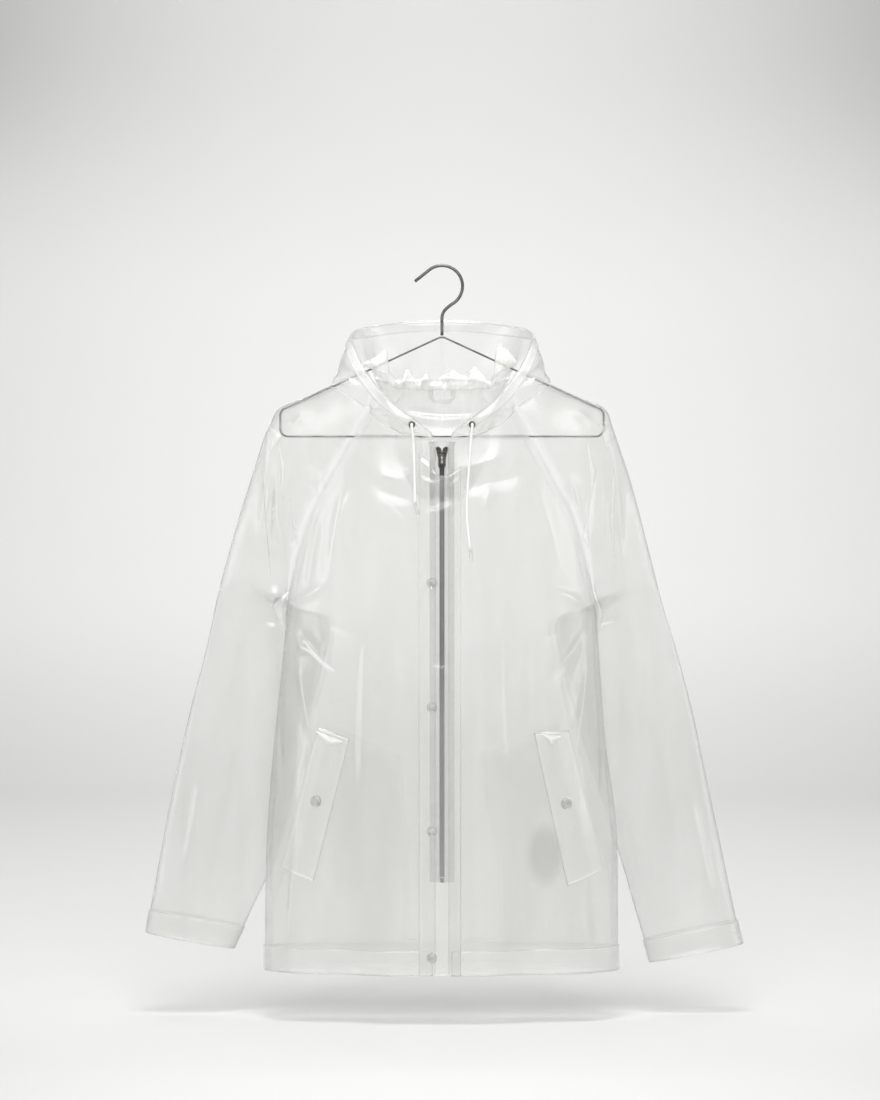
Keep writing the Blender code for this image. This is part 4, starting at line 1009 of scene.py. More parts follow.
def paper_material():
    """The studio's seamless paper. Its colour is painted darker towards the top and the sides, and on the
    near floor away from the middle, as the light falls off; it is also darker towards the floor, with a faint
    grain.
    """
    material, nodes, shader = new_material("Studio paper")
    place = nodes.add("ShaderNodeTexCoord").outputs["Object"]
    grain = nodes.noise(place, 6.0, 3.0)
    split = nodes.add("ShaderNodeSeparateXYZ")
    nodes.feed(split.inputs[0], place)
    # painted shade: the paper darkens towards the sides, the top and the near floor's sides, where the light
    # falls off
    aside = nodes.maths("MULTIPLY", split.outputs[0], split.outputs[0])
    aside = nodes.maths("MINIMUM", aside, 2.0)
    high = nodes.spread(split.outputs[2], 0.3, 1.35)
    near = nodes.spread(split.outputs[1], 0.3, -0.5, 0.0, 0.34)
    near = nodes.maths("MULTIPLY", near, nodes.maths("MINIMUM", aside, 0.35))
    aside = nodes.maths(
        "ADD", nodes.maths("MULTIPLY", aside, nodes.spread(high, 0.0, 1.0, 0.055, 0.145)), near
    )
    darker = nodes.maths("ADD", aside, nodes.maths("MULTIPLY", high, 0.15))
    darker = nodes.maths("ADD", darker, nodes.maths("MULTIPLY", grain, 0.015))
    darker = nodes.maths("ADD", darker, nodes.spread(split.outputs[2], -0.45, -0.95, 0.0, 0.12))
    base = colours().backdrop
    nodes.feed(shader.inputs["Base Color"], nodes.blend(darker, (*base, 1.0), (0.0, 0.0, 0.0, 1.0)))
    shader.inputs["Roughness"].default_value = 0.75
    shader.inputs["Specular IOR Level"].default_value = 0.2
    return material


def finish(name, make, *given, **named):
    """A material made once and found by its name after that."""
    return bpy.data.materials.get(name) or make(name, *given, **named) if name else None

# ---- making pieces ----
def settle(obj, nodes=(), body="coat"):
    """Rides a piece on its body and hides the CAD nodes that it stands for."""
    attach(obj, body)
    if nodes:
        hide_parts(*nodes)
    return obj


def new_object(name, mesh, material, smooth=True):
    if smooth:
        mesh.polygons.foreach_set("use_smooth", [True] * len(mesh.polygons))
    obj = bpy.data.objects.new(name, mesh)
    bpy.context.scene.collection.objects.link(obj)
    mesh.materials.append(material)
    return obj


def grid_mesh(name, place, columns, rows, worn=None, run=None):
    """A grid laid on place(u, v), its doubles merged and its normals made to agree."""
    shape = bmesh.new()
    bmesh.ops.create_grid(shape, x_segments=columns, y_segments=rows, size=0.5)
    mesh = bpy.data.meshes.new(name)
    shape.to_mesh(mesh)
    flat = np.empty(len(mesh.vertices) * 3, np.float32)
    mesh.vertices.foreach_get("co", flat)
    flat = flat.reshape(-1, 3).astype(float)
    u, v = flat[:, 0] + 0.5, 0.5 - flat[:, 1]
    mesh.vertices.foreach_set("co", np.ascontiguousarray(place(u, v), np.float32).ravel())
    if worn is not None:
        layer = mesh.attributes.new("worn", "FLOAT", "POINT")
        layer.data.foreach_set("value", np.clip(worn(u, v), -1.0, 1.0).astype(np.float32))
    if run:
        width, length = run
        layer = mesh.uv_layers.new(name="Run")
        corner = np.empty(len(mesh.loops), np.int32)
        mesh.loops.foreach_get("vertex_index", corner)
        both = np.stack((u[corner] * width, v[corner] * length), axis=-1)
        layer.data.foreach_set("uv", both.astype(np.float32).ravel())
    shape.clear()
    shape.from_mesh(mesh)
    bmesh.ops.remove_doubles(shape, verts=shape.verts, dist=MERGE)
    bmesh.ops.recalc_face_normals(shape, faces=shape.faces)
    shape.to_mesh(mesh)
    shape.free()
    return mesh


def film(name, place, columns, rows, material, nodes=(), worn=None, wall=1.0, slot="film"):
    """A piece of film laid on a surface, with its wall, riding on the coat."""
    mesh = grid_mesh(name, place, columns, rows, worn)
    obj = new_object(name, mesh, material)
    mesh.materials.append(finish("Film edge", edge_material))
    made = obj.modifiers.new("Wall", "SOLIDIFY")
    made.thickness = sizes().film_wall * wall
    made.offset = 0.0
    made.use_even_offset = True
    made.material_offset_rim = 1
    return settle(obj, nodes)


def cells(length, least=2):
    return max(least, round(length / sizes().grid_step))


def edge_worn(low=0.0, width=0.03):
    """How worked the film is: near its edges."""

    def worn(u, v):
        edge = np.minimum(np.minimum(u, 1 - u), np.minimum(v, 1 - v))
        return low + 0.6 * (1 - ease(0.0, width, edge))

    return worn


def creased_worn(creases, place, side=None, seamed=None):
    """How worked the film is: along its creases and near its edges, and thinner where it is welded."""
    edges = edge_worn()

    def worn(u, v):
        at = place(u, v)
        x = at[:, 0] if side is None else SIGN[side] * at[:, 0]
        bent = np.abs(crease_depth(creases, x, at[:, 2])) / 0.003
        seam = 1.5 * seamed(u, v) if seamed else 0.0
        return edges(u, v) * 0.1 + np.minimum(bent, 1.0) * 0.8 - seam

    return worn


def tube_mesh(name, route, radius, around=12, ends=True):
    """A round tube along a route of points, with its run mapped along it."""
    route = np.asarray(route, float)
    step = np.gradient(route, axis=0)
    step = unit(step)
    side = np.zeros_like(route)
    first = np.cross(step[0], (0.0, 1.0, 0.0))
    if np.linalg.norm(first) < 0.1:
        first = np.cross(step[0], (1.0, 0.0, 0.0))
    side[0] = first / np.linalg.norm(first)
    for index in range(1, len(route)):
        turned = side[index - 1] - step[index] * np.dot(side[index - 1], step[index])
        side[index] = turned / np.linalg.norm(turned)
    other = np.cross(step, side)
    length = float(np.linalg.norm(np.diff(route, axis=0), axis=1).sum())

    def place(u, v):
        index = np.round(v * (len(route) - 1)).astype(int)
        angle = 2 * math.pi * u
        return (
            route[index]
            + side[index] * (radius * np.cos(angle))[:, None]
            + other[index] * (radius * np.sin(angle))[:, None]
        )

    mesh = grid_mesh(name, place, around, len(route) - 1, run=(1.0, length))
    if ends:
        shape = bmesh.new()
        shape.from_mesh(mesh)
        bmesh.ops.holes_fill(shape, edges=[edge for edge in shape.edges if edge.is_boundary], sides=0)
        bmesh.ops.recalc_face_normals(shape, faces=shape.faces)
        shape.to_mesh(mesh)
        shape.free()
    return mesh


def smooth_route(table, count):
    """Points at equal steps on a smooth curve through a route's own points."""
    Place = namedtuple("Place", "t x y z")
    rows = [Place(index, *point) for index, point in enumerate(table)]
    at = np.linspace(0, len(rows) - 1, count)
    return points(*(along(rows, column, at) for column in "xyz"))


def turned_mesh(name, profile, place, facing, segments=40):
    """A turned piece: radius and height pairs spun round the way it faces."""
    shape = bmesh.new()
    corners = [shape.verts.new((radius, 0.0, height)) for radius, height in profile]
    edges = [shape.edges.new(pair) for pair in zip(corners, corners[1:])]
    bmesh.ops.spin(
        shape, geom=corners + edges, cent=(0, 0, 0), axis=(0, 0, 1), dvec=(0, 0, 0),
        angle=2 * math.pi, steps=segments, use_merge=True,
    )
    bmesh.ops.remove_doubles(shape, verts=shape.verts, dist=MERGE)
    bmesh.ops.recalc_face_normals(shape, faces=shape.faces)
    turn = Vector(facing).to_track_quat("Z", "Y").to_matrix().to_4x4()
    bmesh.ops.transform(shape, matrix=Matrix.Translation(Vector(place)) @ turn, verts=shape.verts)
    mesh = bpy.data.meshes.new(name)
    shape.to_mesh(mesh)
    shape.free()
    return mesh


def stitch_run(shape, line, thickness=0.00045, gap=0.24):
    """Lays stitches end to end along a line of points, with the gaps where the thread dives."""
    line = np.asarray(line, float)
    steps = np.linalg.norm(np.diff(line, axis=0), axis=1)
    far = np.concatenate(([0.0], np.cumsum(steps)))
    pitch = sizes().stitch_pitch
    count = int(far[-1] / pitch)
    starts = (np.arange(count) + 0.5 * gap) * pitch
    ends = starts + pitch * (1 - gap)
    heads = points(*(np.interp(starts, far, line[:, axis]) for axis in range(3)))
    tails = points(*(np.interp(ends, far, line[:, axis]) for axis in range(3)))
    for head, tail in zip(heads, tails):
        head, tail = Vector(head), Vector(tail)
        way = tail - head
        turn = way.to_track_quat("Z", "Y").to_matrix().to_4x4()
        size = Matrix.Diagonal((thickness / 2, thickness / 2, way.length / 2, 1.0))
        place = Matrix.Translation((head + tail) / 2) @ turn @ size
        bmesh.ops.create_icosphere(shape, subdivisions=1, radius=1.0, matrix=place)


def stitching(name, lines):
    """One piece of thread for all of these lines of stitches."""
    shape = bmesh.new()
    for line in lines:
        stitch_run(shape, line)
    mesh = bpy.data.meshes.new(name)
    shape.to_mesh(mesh)
    shape.free()
    return settle(new_object(name, mesh, finish("Thread", lambda name: thread_material())))


def steps(first, last, count=160):
    return np.linspace(first, last, count)


# A sheet's flat size: its widest and longest runs, and its area.
Cut = namedtuple("Cut", "width length area")


# ---- the drawstring ----
CORD_LENGTHS = {"right": 0.103, "left": 0.161}


class RAINCOAT_OT_drawstring(bpy.types.Operator):
    """Hangs the drawstring's two free ends, in their braid, from the eyelets"""

    bl_idname = "raincoat.drawstring"
    bl_label = "Drawstring"

    def execute(self, context):
        for side in SIDES:
            route = smooth_route(DRAWSTRING[side], 40)
            length = float(np.linalg.norm(np.diff(route, axis=0), axis=1).sum())
            mesh = tube_mesh(f"cord_{side}", route, CORD_RADIUS, 14)
            cord = new_object(f"cord_{side}", mesh, finish("Braided cord", lambda name: cord_material()))
            settle(cord, [f"drawstring_{side}"])
            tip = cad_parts[f"drawstring_tip_{side}"]
            tip.data.materials.clear()
            tip.data.materials.append(finish("Clear plastic", plastic_material))
            if abs(length - CORD_LENGTHS[side]) > 0.01:
                raise RuntimeError(f"the {side} cord's route is {length:.3f} m long")
        return {"FINISHED"}


# ---- the hanger ----
def arc(centre, radius, first, last, count):
    angle = np.radians(np.linspace(first, last, count))
    return points(centre[0] + radius * np.cos(angle), 0.0, centre[1] + radius * np.sin(angle))


class RAINCOAT_OT_hanger(bpy.types.Operator):
    """Bends the hanger's hook and its frame from wire"""

    bl_idname = "raincoat.hanger"
    bl_label = "Hanger"

    def execute(self, context):
        wire = finish("Drawn wire", metal_material, colours().wire, 0.24, 55.0, 900.0)
        ring = arc((0.0, HOOK_WIRE - HOOK_RADIUS), HOOK_RADIUS, *HOOK_ARC, 70)
        way = unit(ring[0] - ring[1])
        tip = np.array([ring[0] + way * HOOK_TIP * share for share in (1.0, 0.75, 0.5, 0.25)])
        bend = [ring[-1], *(np.array((x, 0.0, z)) for x, z in HOOK_BEND)]
        stem = bezier([point[None, :] for point in bend], np.linspace(0.06, 1, 18)[:, None])[:, 0]
        foot = points(0.0, 0.0, np.linspace(stem[-1][2] - 0.006, FRAME_APEX_Z + FRAME_WIRE + GAP, 4))
        hook = tube_mesh("hook", np.concatenate((tip, ring, stem, foot)), HOOK_WIRE, 20)
        settle(new_object("hook", hook, wire), ["hanger_hook"])

        arm_x, arm_z = FRAME_ARM_END
        half = [points(np.linspace(FRAME_APEX_HALF, arm_x, 24)[:-1], 0.0,
                       np.linspace(FRAME_APEX_Z - FRAME_APEX_DROP, arm_z, 24)[:-1])]
        slope = math.degrees(math.atan2(arm_z - FRAME_APEX_Z, arm_x))
        half.append(arc((FRAME_HALF - FRAME_CORNER, arm_z - FRAME_SHOULDER), FRAME_CORNER, 90 + slope, 0, 16))
        half.append(arc((FRAME_HALF - FRAME_CORNER, FRAME_BAR_Z + FRAME_CORNER), FRAME_CORNER, 0, -90, 12))
        half = np.concatenate(half)
        bar = points(np.linspace(half[-1][0], -half[-1][0], 40)[1:-1], 0.0, FRAME_BAR_Z)
        loop = np.concatenate((half, bar, half[::-1] * (-1, 1, 1), half[:1]))
        wire_frame = tube_mesh("frame", loop, FRAME_WIRE, 14, ends=False)
        shape = bmesh.new()
        shape.from_mesh(wire_frame)
        rims = [edge for edge in shape.edges if edge.is_boundary]
        bmesh.ops.bridge_loops(shape, edges=rims)
        bmesh.ops.recalc_face_normals(shape, faces=shape.faces)
        shape.to_mesh(wire_frame)
        shape.free()
        settle(new_object("frame", wire_frame, wire), ["hanger_frame"])
        return {"FINISHED"}


# ---- the film ----
ALLOWANCE = 0.010  # of the seams


def worn_film():
    return finish("Film", film_material)


def front_columns():
    return cells(0.235), cells(0.70)


class RAINCOAT_OT_body(bpy.types.Operator):
    """Lays the fronts and the back, with their folds and creases"""

    bl_idname = "raincoat.body"
    bl_label = "Fronts and back"

    def execute(self, context):
        for side in SIDES:
            place = front_place(side)
            worn = creased_worn(
                FRONT_CREASES, place, None, lambda u, v: ease(0.955, 0.985, u) * (1 - ease(0.36, 0.40, v))
            )
            made = film(f"front_panel_{side}", place, *front_columns(), worn_film(), [f"front_{side}"], worn)
        worn = creased_worn(BACK_CREASES, back_place)
        made = film("back_panel", back_place, cells(0.46), cells(0.74), worn_film(), ["back"], worn)
        return {"FINISHED"}


# the small folds where the film buckles: top, point and foot of each, x outwards and z. Their lighter,
# milkier film paints the bright highlights along them.
SLEEVE_FOLDS = {
    "right": (
        ((0.1936, -0.4100), (0.2163, -0.4315), (0.1990, -0.4735)),
        ((0.2215, -0.1999), (0.2024, -0.2151), (0.2190, -0.2355)),
        ((0.2075, -0.2202), (0.1990, -0.2584), (0.2024, -0.2966)),
        ((0.1935, -0.2966), (0.1815, -0.3450), (0.1843, -0.3552)),
        ((0.2291, -0.2584), (0.2235, -0.3221), (0.2177, -0.3921)),
    ),
    "left": (
        ((0.1930, -0.4110), (0.2065, -0.4440), (0.1970, -0.4748)),
        ((0.1985, -0.1999), (0.2177, -0.2120), (0.2088, -0.2304)),
        ((0.1840, -0.2202), (0.1948, -0.2584), (0.1900, -0.2966)),
        ((0.1853, -0.3121), (0.1777, -0.3450), (0.1859, -0.3577)),
        ((0.2184, -0.2457), (0.2133, -0.3221), (0.2184, -0.3985)),
    ),
}
# the folds at the welts' tops, in the same lighter film that paints their highlights
WELT_FOLDS = {
    "right": ((0.1604, -0.5866), (0.1440, -0.6060), (0.1232, -0.6010)),
    "left": ((0.1247, -0.5912), (0.1375, -0.6047), (0.1502, -0.5942)),
}


def fold_place(side, corners, nearest, out, rise=0.0050):
    """A three-cornered fold standing just off a surface, with a soft ridge down it."""
    top, point, foot = (np.array(corner) for corner in corners)
    along_it = foot - top
    bend = float(np.dot(point - top, along_it) / np.dot(along_it, along_it))

    def place(u, v):
        wide = np.minimum(v / bend, (1 - v) / (1 - bend))
        across = point - (top + along_it * bend)
        flat = top + along_it * v[:, None] + across * (u * wide)[:, None]
        y = nearest(flat[:, 0], flat[:, 1])
        ridge = rise * wide * (1 - np.abs(1 - 2 * u))
        return points(SIGN[side] * flat[:, 0], y - out - ridge, flat[:, 1])

    return place


def sleeve_front(side):
    """How far forward the sleeve's front is, found from its nearest places."""
    u, v = np.meshgrid(np.linspace(0.02, 0.48, 60), np.linspace(0.02, 0.75, 150))
    sleeve = sleeve_place(side)(u.ravel(), v.ravel())

    def nearest(x, z):
        far = (SIGN[side] * sleeve[:, 0] - x[:, None]) ** 2 + (sleeve[:, 2] - z[:, None]) ** 2
        close = np.argsort(far, axis=1)[:, :6]
        return sleeve[close, 1].min(axis=1)

    return nearest


class RAINCOAT_OT_sleeves(bpy.types.Operator):
    """Lays the raglan sleeves, each in one piece with its seam under the arm"""

    bl_idname = "raincoat.sleeves"
    bl_label = "Sleeves"

    def execute(self, context):
        for side in SIDES:
            place = sleeve_place(side)
            worn = creased_worn(
                SLEEVE_CREASES[side], place, side,
                lambda u, v: (
                    (1 - ease(0.015, 0.04, np.minimum(u, 1 - u))) * (1 - ease(ARMPIT_V - 0.04, ARMPIT_V, v))
                ),
            )
            made = film(
                f"sleeve_panel_{side}", place, cells(0.32), cells(0.74), worn_film(), [f"sleeve_{side}"], worn
            )
            nearest = sleeve_front(side)
            for number, corners in enumerate(SLEEVE_FOLDS[side], 1):
                place = fold_place(side, corners, nearest, 0.0012, 0.0050 if number == 1 else 0.0026)
                # painted highlight: the folds' film is lighter and milkier than the coat's, to show the
                # bright strokes along them
                highlight_fold_film = finish("Crumpled film", film_material, 0.02, 1.12, 0.34)
                if number > 1:
                    highlight_fold_film = finish("Creased film", film_material, -0.18, 1.12, 0.20)
                film(
                        f"sleeve_fold_{number}_{side}", place, 10, 20, highlight_fold_film, (), lambda u, v: 0.5 + 0.5 * u
                    )
        return {"FINISHED"}


NeckFold = namedtuple("NeckFold", "x top low y")
NECK_FOLD = (
    NeckFold(-0.0990, -0.1225, -0.1265, -0.018),
    NeckFold(-0.0840, -0.1150, -0.1330, -0.017),
    NeckFold(-0.0695, -0.1075, -0.1390, -0.016),
    NeckFold(-0.0672, -0.1300, -0.1500, -0.010),
    NeckFold(-0.0560, -0.1425, -0.1545, -0.004),
    NeckFold(-0.0433, -0.1295, -0.1553, 0.002),
    NeckFold(-0.0318, -0.1430, -0.1558, 0.004),
    NeckFold(-0.0204, -0.1335, -0.1560, 0.006),
    NeckFold(-0.0115, -0.1445, -0.1562, 0.006),
    NeckFold(0.0127, -0.1305, -0.1562, 0.006),
    NeckFold(0.0267, -0.1370, -0.1560, 0.005),
    NeckFold(0.0407, -0.1255, -0.1555, 0.003),
    NeckFold(0.0535, -0.1380, -0.1550, -0.002),
    NeckFold(0.0655, -0.1420, -0.1530, -0.010),
    NeckFold(0.0681, -0.1050, -0.1385, -0.016),
    NeckFold(0.0827, -0.1065, -0.1320, -0.017),
    NeckFold(0.0942, -0.1190, -0.1250, -0.018),
)
NECK_FOLD_CREASES = (
    Crease(-0.092, -0.112, -0.070, -0.150, 0.0050, 0.0030, 0.002),
    Crease(-0.060, -0.126, -0.048, -0.166, 0.0048, -0.0030, 0.002),
    Crease(-0.044, -0.128, -0.056, -0.160, 0.0042, 0.0034, -0.001),
    Crease(-0.032, -0.128, -0.016, -0.164, 0.0046, -0.0028, 0.001),
    Crease(-0.016, -0.130, -0.030, -0.160, 0.0040, 0.0032, 0.002),
    Crease(0.000, -0.132, 0.014, -0.168, 0.0050, -0.0030, 0.001),
    Crease(0.012, -0.126, 0.002, -0.162, 0.0040, 0.0032, -0.002),
    Crease(0.026, -0.124, 0.040, -0.160, 0.0044, -0.0032, 0.001),
    Crease(0.044, -0.124, 0.030, -0.156, 0.0042, 0.0030, 0.002),
    Crease(0.058, -0.122, 0.062, -0.152, 0.0046, -0.0030, 0.002),
    Crease(0.088, -0.102, 0.066, -0.146, 0.0050, 0.0030, -0.002),
    Crease(-0.070, -0.152, 0.070, -0.148, 0.0036, 0.0030, -0.008),
)


def behind_thin(nodes, place):
    """The hood's bag hangs away behind the coat, and shows less."""
    split = nodes.add("ShaderNodeSeparateXYZ")
    nodes.feed(split.inputs[0], place)
    low = nodes.spread(split.outputs[2], -0.125, -0.165)
    return nodes.maths(
        "MULTIPLY", nodes.maths("MULTIPLY", low, nodes.spread(split.outputs[1], -0.035, 0.0)), 0.37
    )


def neck_fold_place(u, v):
    """The fold that the hood's film makes above the neck seam at the back."""
    x = mix(NECK_FOLD[0].x, NECK_FOLD[-1].x, u)
    top, low, y = (along(NECK_FOLD, column, x) for column in ("top", "low", "y"))
    z = mix(top, low, v)
    detail = crease_depth(NECK_FOLD_CREASES, x, z) + ripple(x * 2, z * 2, 62, 0.0016)
    return points(x, y - detail - 0.004 * np.sin(math.pi * v), z)


def rim_place(side):
    """The fold of film round the hood's opening, from the hood to its casing."""
    base = hood_place(side, None, 0.0, False)
    over = hood_place(side, CASING_WIDTH, CASING_OUT)

    def place(u, v):
        low, high = base(u, np.zeros_like(v)), over(u, np.zeros_like(v))
        ahead = unit(base(u, np.full_like(v, 0.03)) - low)
        angle = (math.pi * v)[:, None]
        middle, half = (low + high) / 2, (low - high) / 2
        return middle + half * np.cos(angle) - ahead * np.sin(angle) * CASING_OUT / 2

    return place


class RAINCOAT_OT_hood(bpy.types.Operator):
    """Hangs the hood's two halves, with the casing round their opening"""

    bl_idname = "raincoat.hood"
    bl_label = "Hood"

    def execute(self, context):
        # painted lightening: the hood's film is tinted lighter than the coat's, against the shade where its
        # layers stack
        hood_film = finish("Hood film", film_material, -0.04, 1.06, 0.03, None, behind_thin)
        for side in SIDES:
            place = hood_place(side)

            def worn(u, v):
                bent = np.abs(crease_depth(HOOD_CREASES, u, v)) / 0.004
                return edge_worn()(u, v) * 0.6 + np.minimum(bent, 1.0) * 0.8

            half = film(
                f"hood_half_{side}", place, cells(0.48), cells(0.40), hood_film, [f"hood_{side}"], worn
            )
            # painted lightening: the casing and rim are tinted lighter still, against the shade of their
            # folded layers
            bright = finish("Casing film", film_material, 0.00, 1.09, 0.12)
            casing = film(
                f"casing_{side}", hood_place(side, CASING_WIDTH, CASING_OUT), cells(0.36), 5, bright,
                [f"hood_casing_{side}"], edge_worn(0.5),
            )
            rim = film(f"hood_rim_{side}", rim_place(side), cells(0.36), 8, bright, (), edge_worn(0.6))
        # painted highlight: the neck fold's lighter, milkier film shows the bright crumples inside the back
        # of the neck
        crumpled_highlight = finish("Crumpled film", film_material, 0.02, 1.12, 0.34)
        fold = film(
            "hood_neck_fold", neck_fold_place, 110, 16, crumpled_highlight, (), lambda u, v: 0.6 + 0.4 * np.sin(60 * u)
        )
        return {"FINISHED"}


def flap_y(z):
    z = np.asarray(z, float)
    edge = np.full_like(z, FRONT_EDGE_X)
    return np.minimum(body_y("front", "right", edge, z), body_y("front", "left", edge, z)) - SEAM


FLAP_CREASES = (
    Crease(-0.026, -0.246, -0.012, -0.262, 0.0035, 0.0014, 0.001),
    Crease(-0.028, -0.262, -0.004, -0.272, 0.0040, -0.0010, 0.002),
    Crease(-0.016, -0.268, 0.004, -0.264, 0.0024, 0.0012, 0.000),
    Crease(0.004, -0.272, 0.024, -0.258, 0.0030, 0.0013, 0.001),
    Crease(-0.026, -0.320, 0.022, -0.300, 0.0060, 0.0008, 0.002),
    Crease(-0.028, -0.398, 0.020, -0.404, 0.0100, 0.0008, 0.002),
    Crease(-0.026, -0.506, 0.020, -0.512, 0.0060, 0.0010, 0.002),
    Crease(-0.024, -0.578, 0.022, -0.584, 0.0070, 0.0010, -0.002),
    Crease(-0.024, -0.700, 0.020, -0.690, 0.0080, 0.0008, 0.002),
    Crease(-0.028, -0.842, 0.022, -0.850, 0.0080, 0.0009, 0.002),
)


def flap_place(u, v):
    x = mix(FLAP_TOP[0].x, FLAP_TOP[-1].x, u)
    z = mix(along(FLAP_TOP, "z", x), HEM_Z + GAP, v)
    out = mix(FLAP_OUT, FLAP_ATTACHED_OUT, ease(0.7, 1.0, u))
    loose = ease(0.0, 0.3, u) * ease(0.0, 0.2, 1 - u)
    detail = np.maximum(crease_depth(FLAP_CREASES, x, z), -0.0003) + ripple(x, z, 21, 0.0005)
    detail = detail * (0.4 + 0.6 * loose)
    return points(x, flap_y(z) - out - detail, z)


def turned_edge(inside, drop):
    """A turn-up's surface: up inside the panel by v, and round the fold at its foot."""

    def place(u, v):
        fold = 0.86
        level = np.minimum(v / fold, 1.0)
        angle = math.pi * np.clip((v - fold) / (1 - fold), 0.0, 1.0)
        out = -LAYER / 2 - LAYER / 2 * np.cos(angle)
        at = inside(u, level, out)
        at[:, 2] -= drop * np.sin(angle)
        return at

    return place


class RAINCOAT_OT_turn_ups(bpy.types.Operator):
    """Turns up the hem and the cuffs, one layer inside"""

    bl_idname = "raincoat.turn_ups"
    bl_label = "Hem and cuffs"

    def execute(self, context):
        # painted lightening: the turned-up layers are tinted lighter than the coat, against the shade where
        # they stack
        bright = finish("Turned film", film_material, -0.10, 1.12, 0.10)
        for side in SIDES:

            def inside(u, level, out, side=side):
                tall = NECK_Z["front"] - HEM_Z
                return FRONT_OUT[side](mix(0.01, 0.97, u), mix(1 - TURN_UP / tall, 1.0, level), out)

            place = turned_edge(inside, LAYER / 2)
            hem = film(
                f"hem_front_{side}", place, cells(0.22), 14, bright,
                [f"hem_turn_front_{side}"], edge_worn(0.1)
            )

            def cuff(u, level, out, side=side):
                first = sleeve_place(side)(np.array([0.25]), np.array([0.9]))
                last = sleeve_place(side)(np.array([0.25]), np.array([1.0]))
                tall = np.linalg.norm(last - first) * 10
                return SLEEVE_OUT[side](mix(0.012, 0.988, u), mix(1 - TURN_UP / tall, 1.0, level), out)

            place = turned_edge(cuff, LAYER / 2)
            turned = film(
                f"cuff_{side}", place, cells(0.24), 14, bright, [f"cuff_turn_{side}"], edge_worn(0.2)
            )

        def behind(u, level, out):
            tall = NECK_Z["back"] - HEM_Z
            return BACK_OUT_OF(mix(0.03, 0.97, u), mix(1 - TURN_UP / tall, 1.0, level), out)

        place = turned_edge(behind, LAYER / 2)
        hem = film("hem_back", place, cells(0.44), 14, bright, ["hem_turn_back"], edge_worn(0.2))
        return {"FINISHED"}


def upper_thin(nodes, place):
    """The flap shows less near its top."""
    split = nodes.add("ShaderNodeSeparateXYZ")
    nodes.feed(split.inputs[0], place)
    return nodes.spread(split.outputs[2], -0.62, -0.46, 0.0, 0.30)


class RAINCOAT_OT_flap(bpy.types.Operator):
    """Lays the storm flap over the zip"""

    bl_idname = "raincoat.flap"
    bl_label = "Storm flap"

    def execute(self, context):
        def worn(u, v):
            return edge_worn(0.25, 0.10)(u, v) + 0.8 * (1 - ease(0.0, 0.035, v))

        # painted lightening: the flap's film is tinted a little lighter, against the shade of the layers
        # behind it
        made = film(
            "flap", flap_place, cells(0.09), cells(1.0),
            finish("Flap film", film_material, 0.16, 1.04, 0.06, None, upper_thin),
            ["storm_flap"], worn,
        )
        return {"FINISHED"}


def welt_xz(side, u, v):
    welt = WELTS[side]
    top = [mix(welt.top_out[axis], welt.top_in[axis], u) for axis in (0, 1)]
    end = [mix(welt.end_out[axis], welt.end_in[axis], u) for axis in (0, 1)]
    return mix(top[0], end[0], v), mix(top[1], end[1], v)


def welt_place(side):
    def place(u, v):
        x, z = welt_xz(side, u, v)
        lift = 0.0010 * np.sin(math.pi * u) * (1 - ease(0.0, 0.25, v)) + ripple(x, z, 31, 0.0004)
        return on_front(SIGN[side] * x, z, WELT_OUT + lift)

    return place


def bag_place(side):
    def place(u, v):
        z = mix(mix(BAG_TOP["inner"], BAG_TOP["outer"], u), HEM_Z + TURN_UP + BAG_ABOVE_TURN_UP, v)
        x = mix(along(BAGS[side], "inner", z), along(BAGS[side], "outer", z), u)
        sag = 0.0012 * np.sin(math.pi * u) * np.sin(math.pi * v) + ripple(x, z, 41, 0.0005)
        return on_front(SIGN[side] * x, z, -BAG_IN_FROM_FRONT - sag)

    return place


PATCH = (0.1300, -0.7440)  # the grey patch in the left pocket
PATCH_HALF = (0.0205, 0.0360)


def patch_shade(nodes, place):
    """An oval patch of grey, sharper towards the side seam."""
    split = nodes.add("ShaderNodeSeparateXYZ")
    nodes.feed(split.inputs[0], place)
    across = nodes.maths("DIVIDE", nodes.maths("SUBTRACT", split.outputs[0], PATCH[0]), PATCH_HALF[0])
    down = nodes.maths("DIVIDE", nodes.maths("SUBTRACT", split.outputs[2], PATCH[1]), PATCH_HALF[1])
    far = nodes.maths(
        "SQRT",
        nodes.maths("ADD", nodes.maths("MULTIPLY", across, across), nodes.maths("MULTIPLY", down, down))
    )
    return nodes.spread(far, 1.35, 0.60)


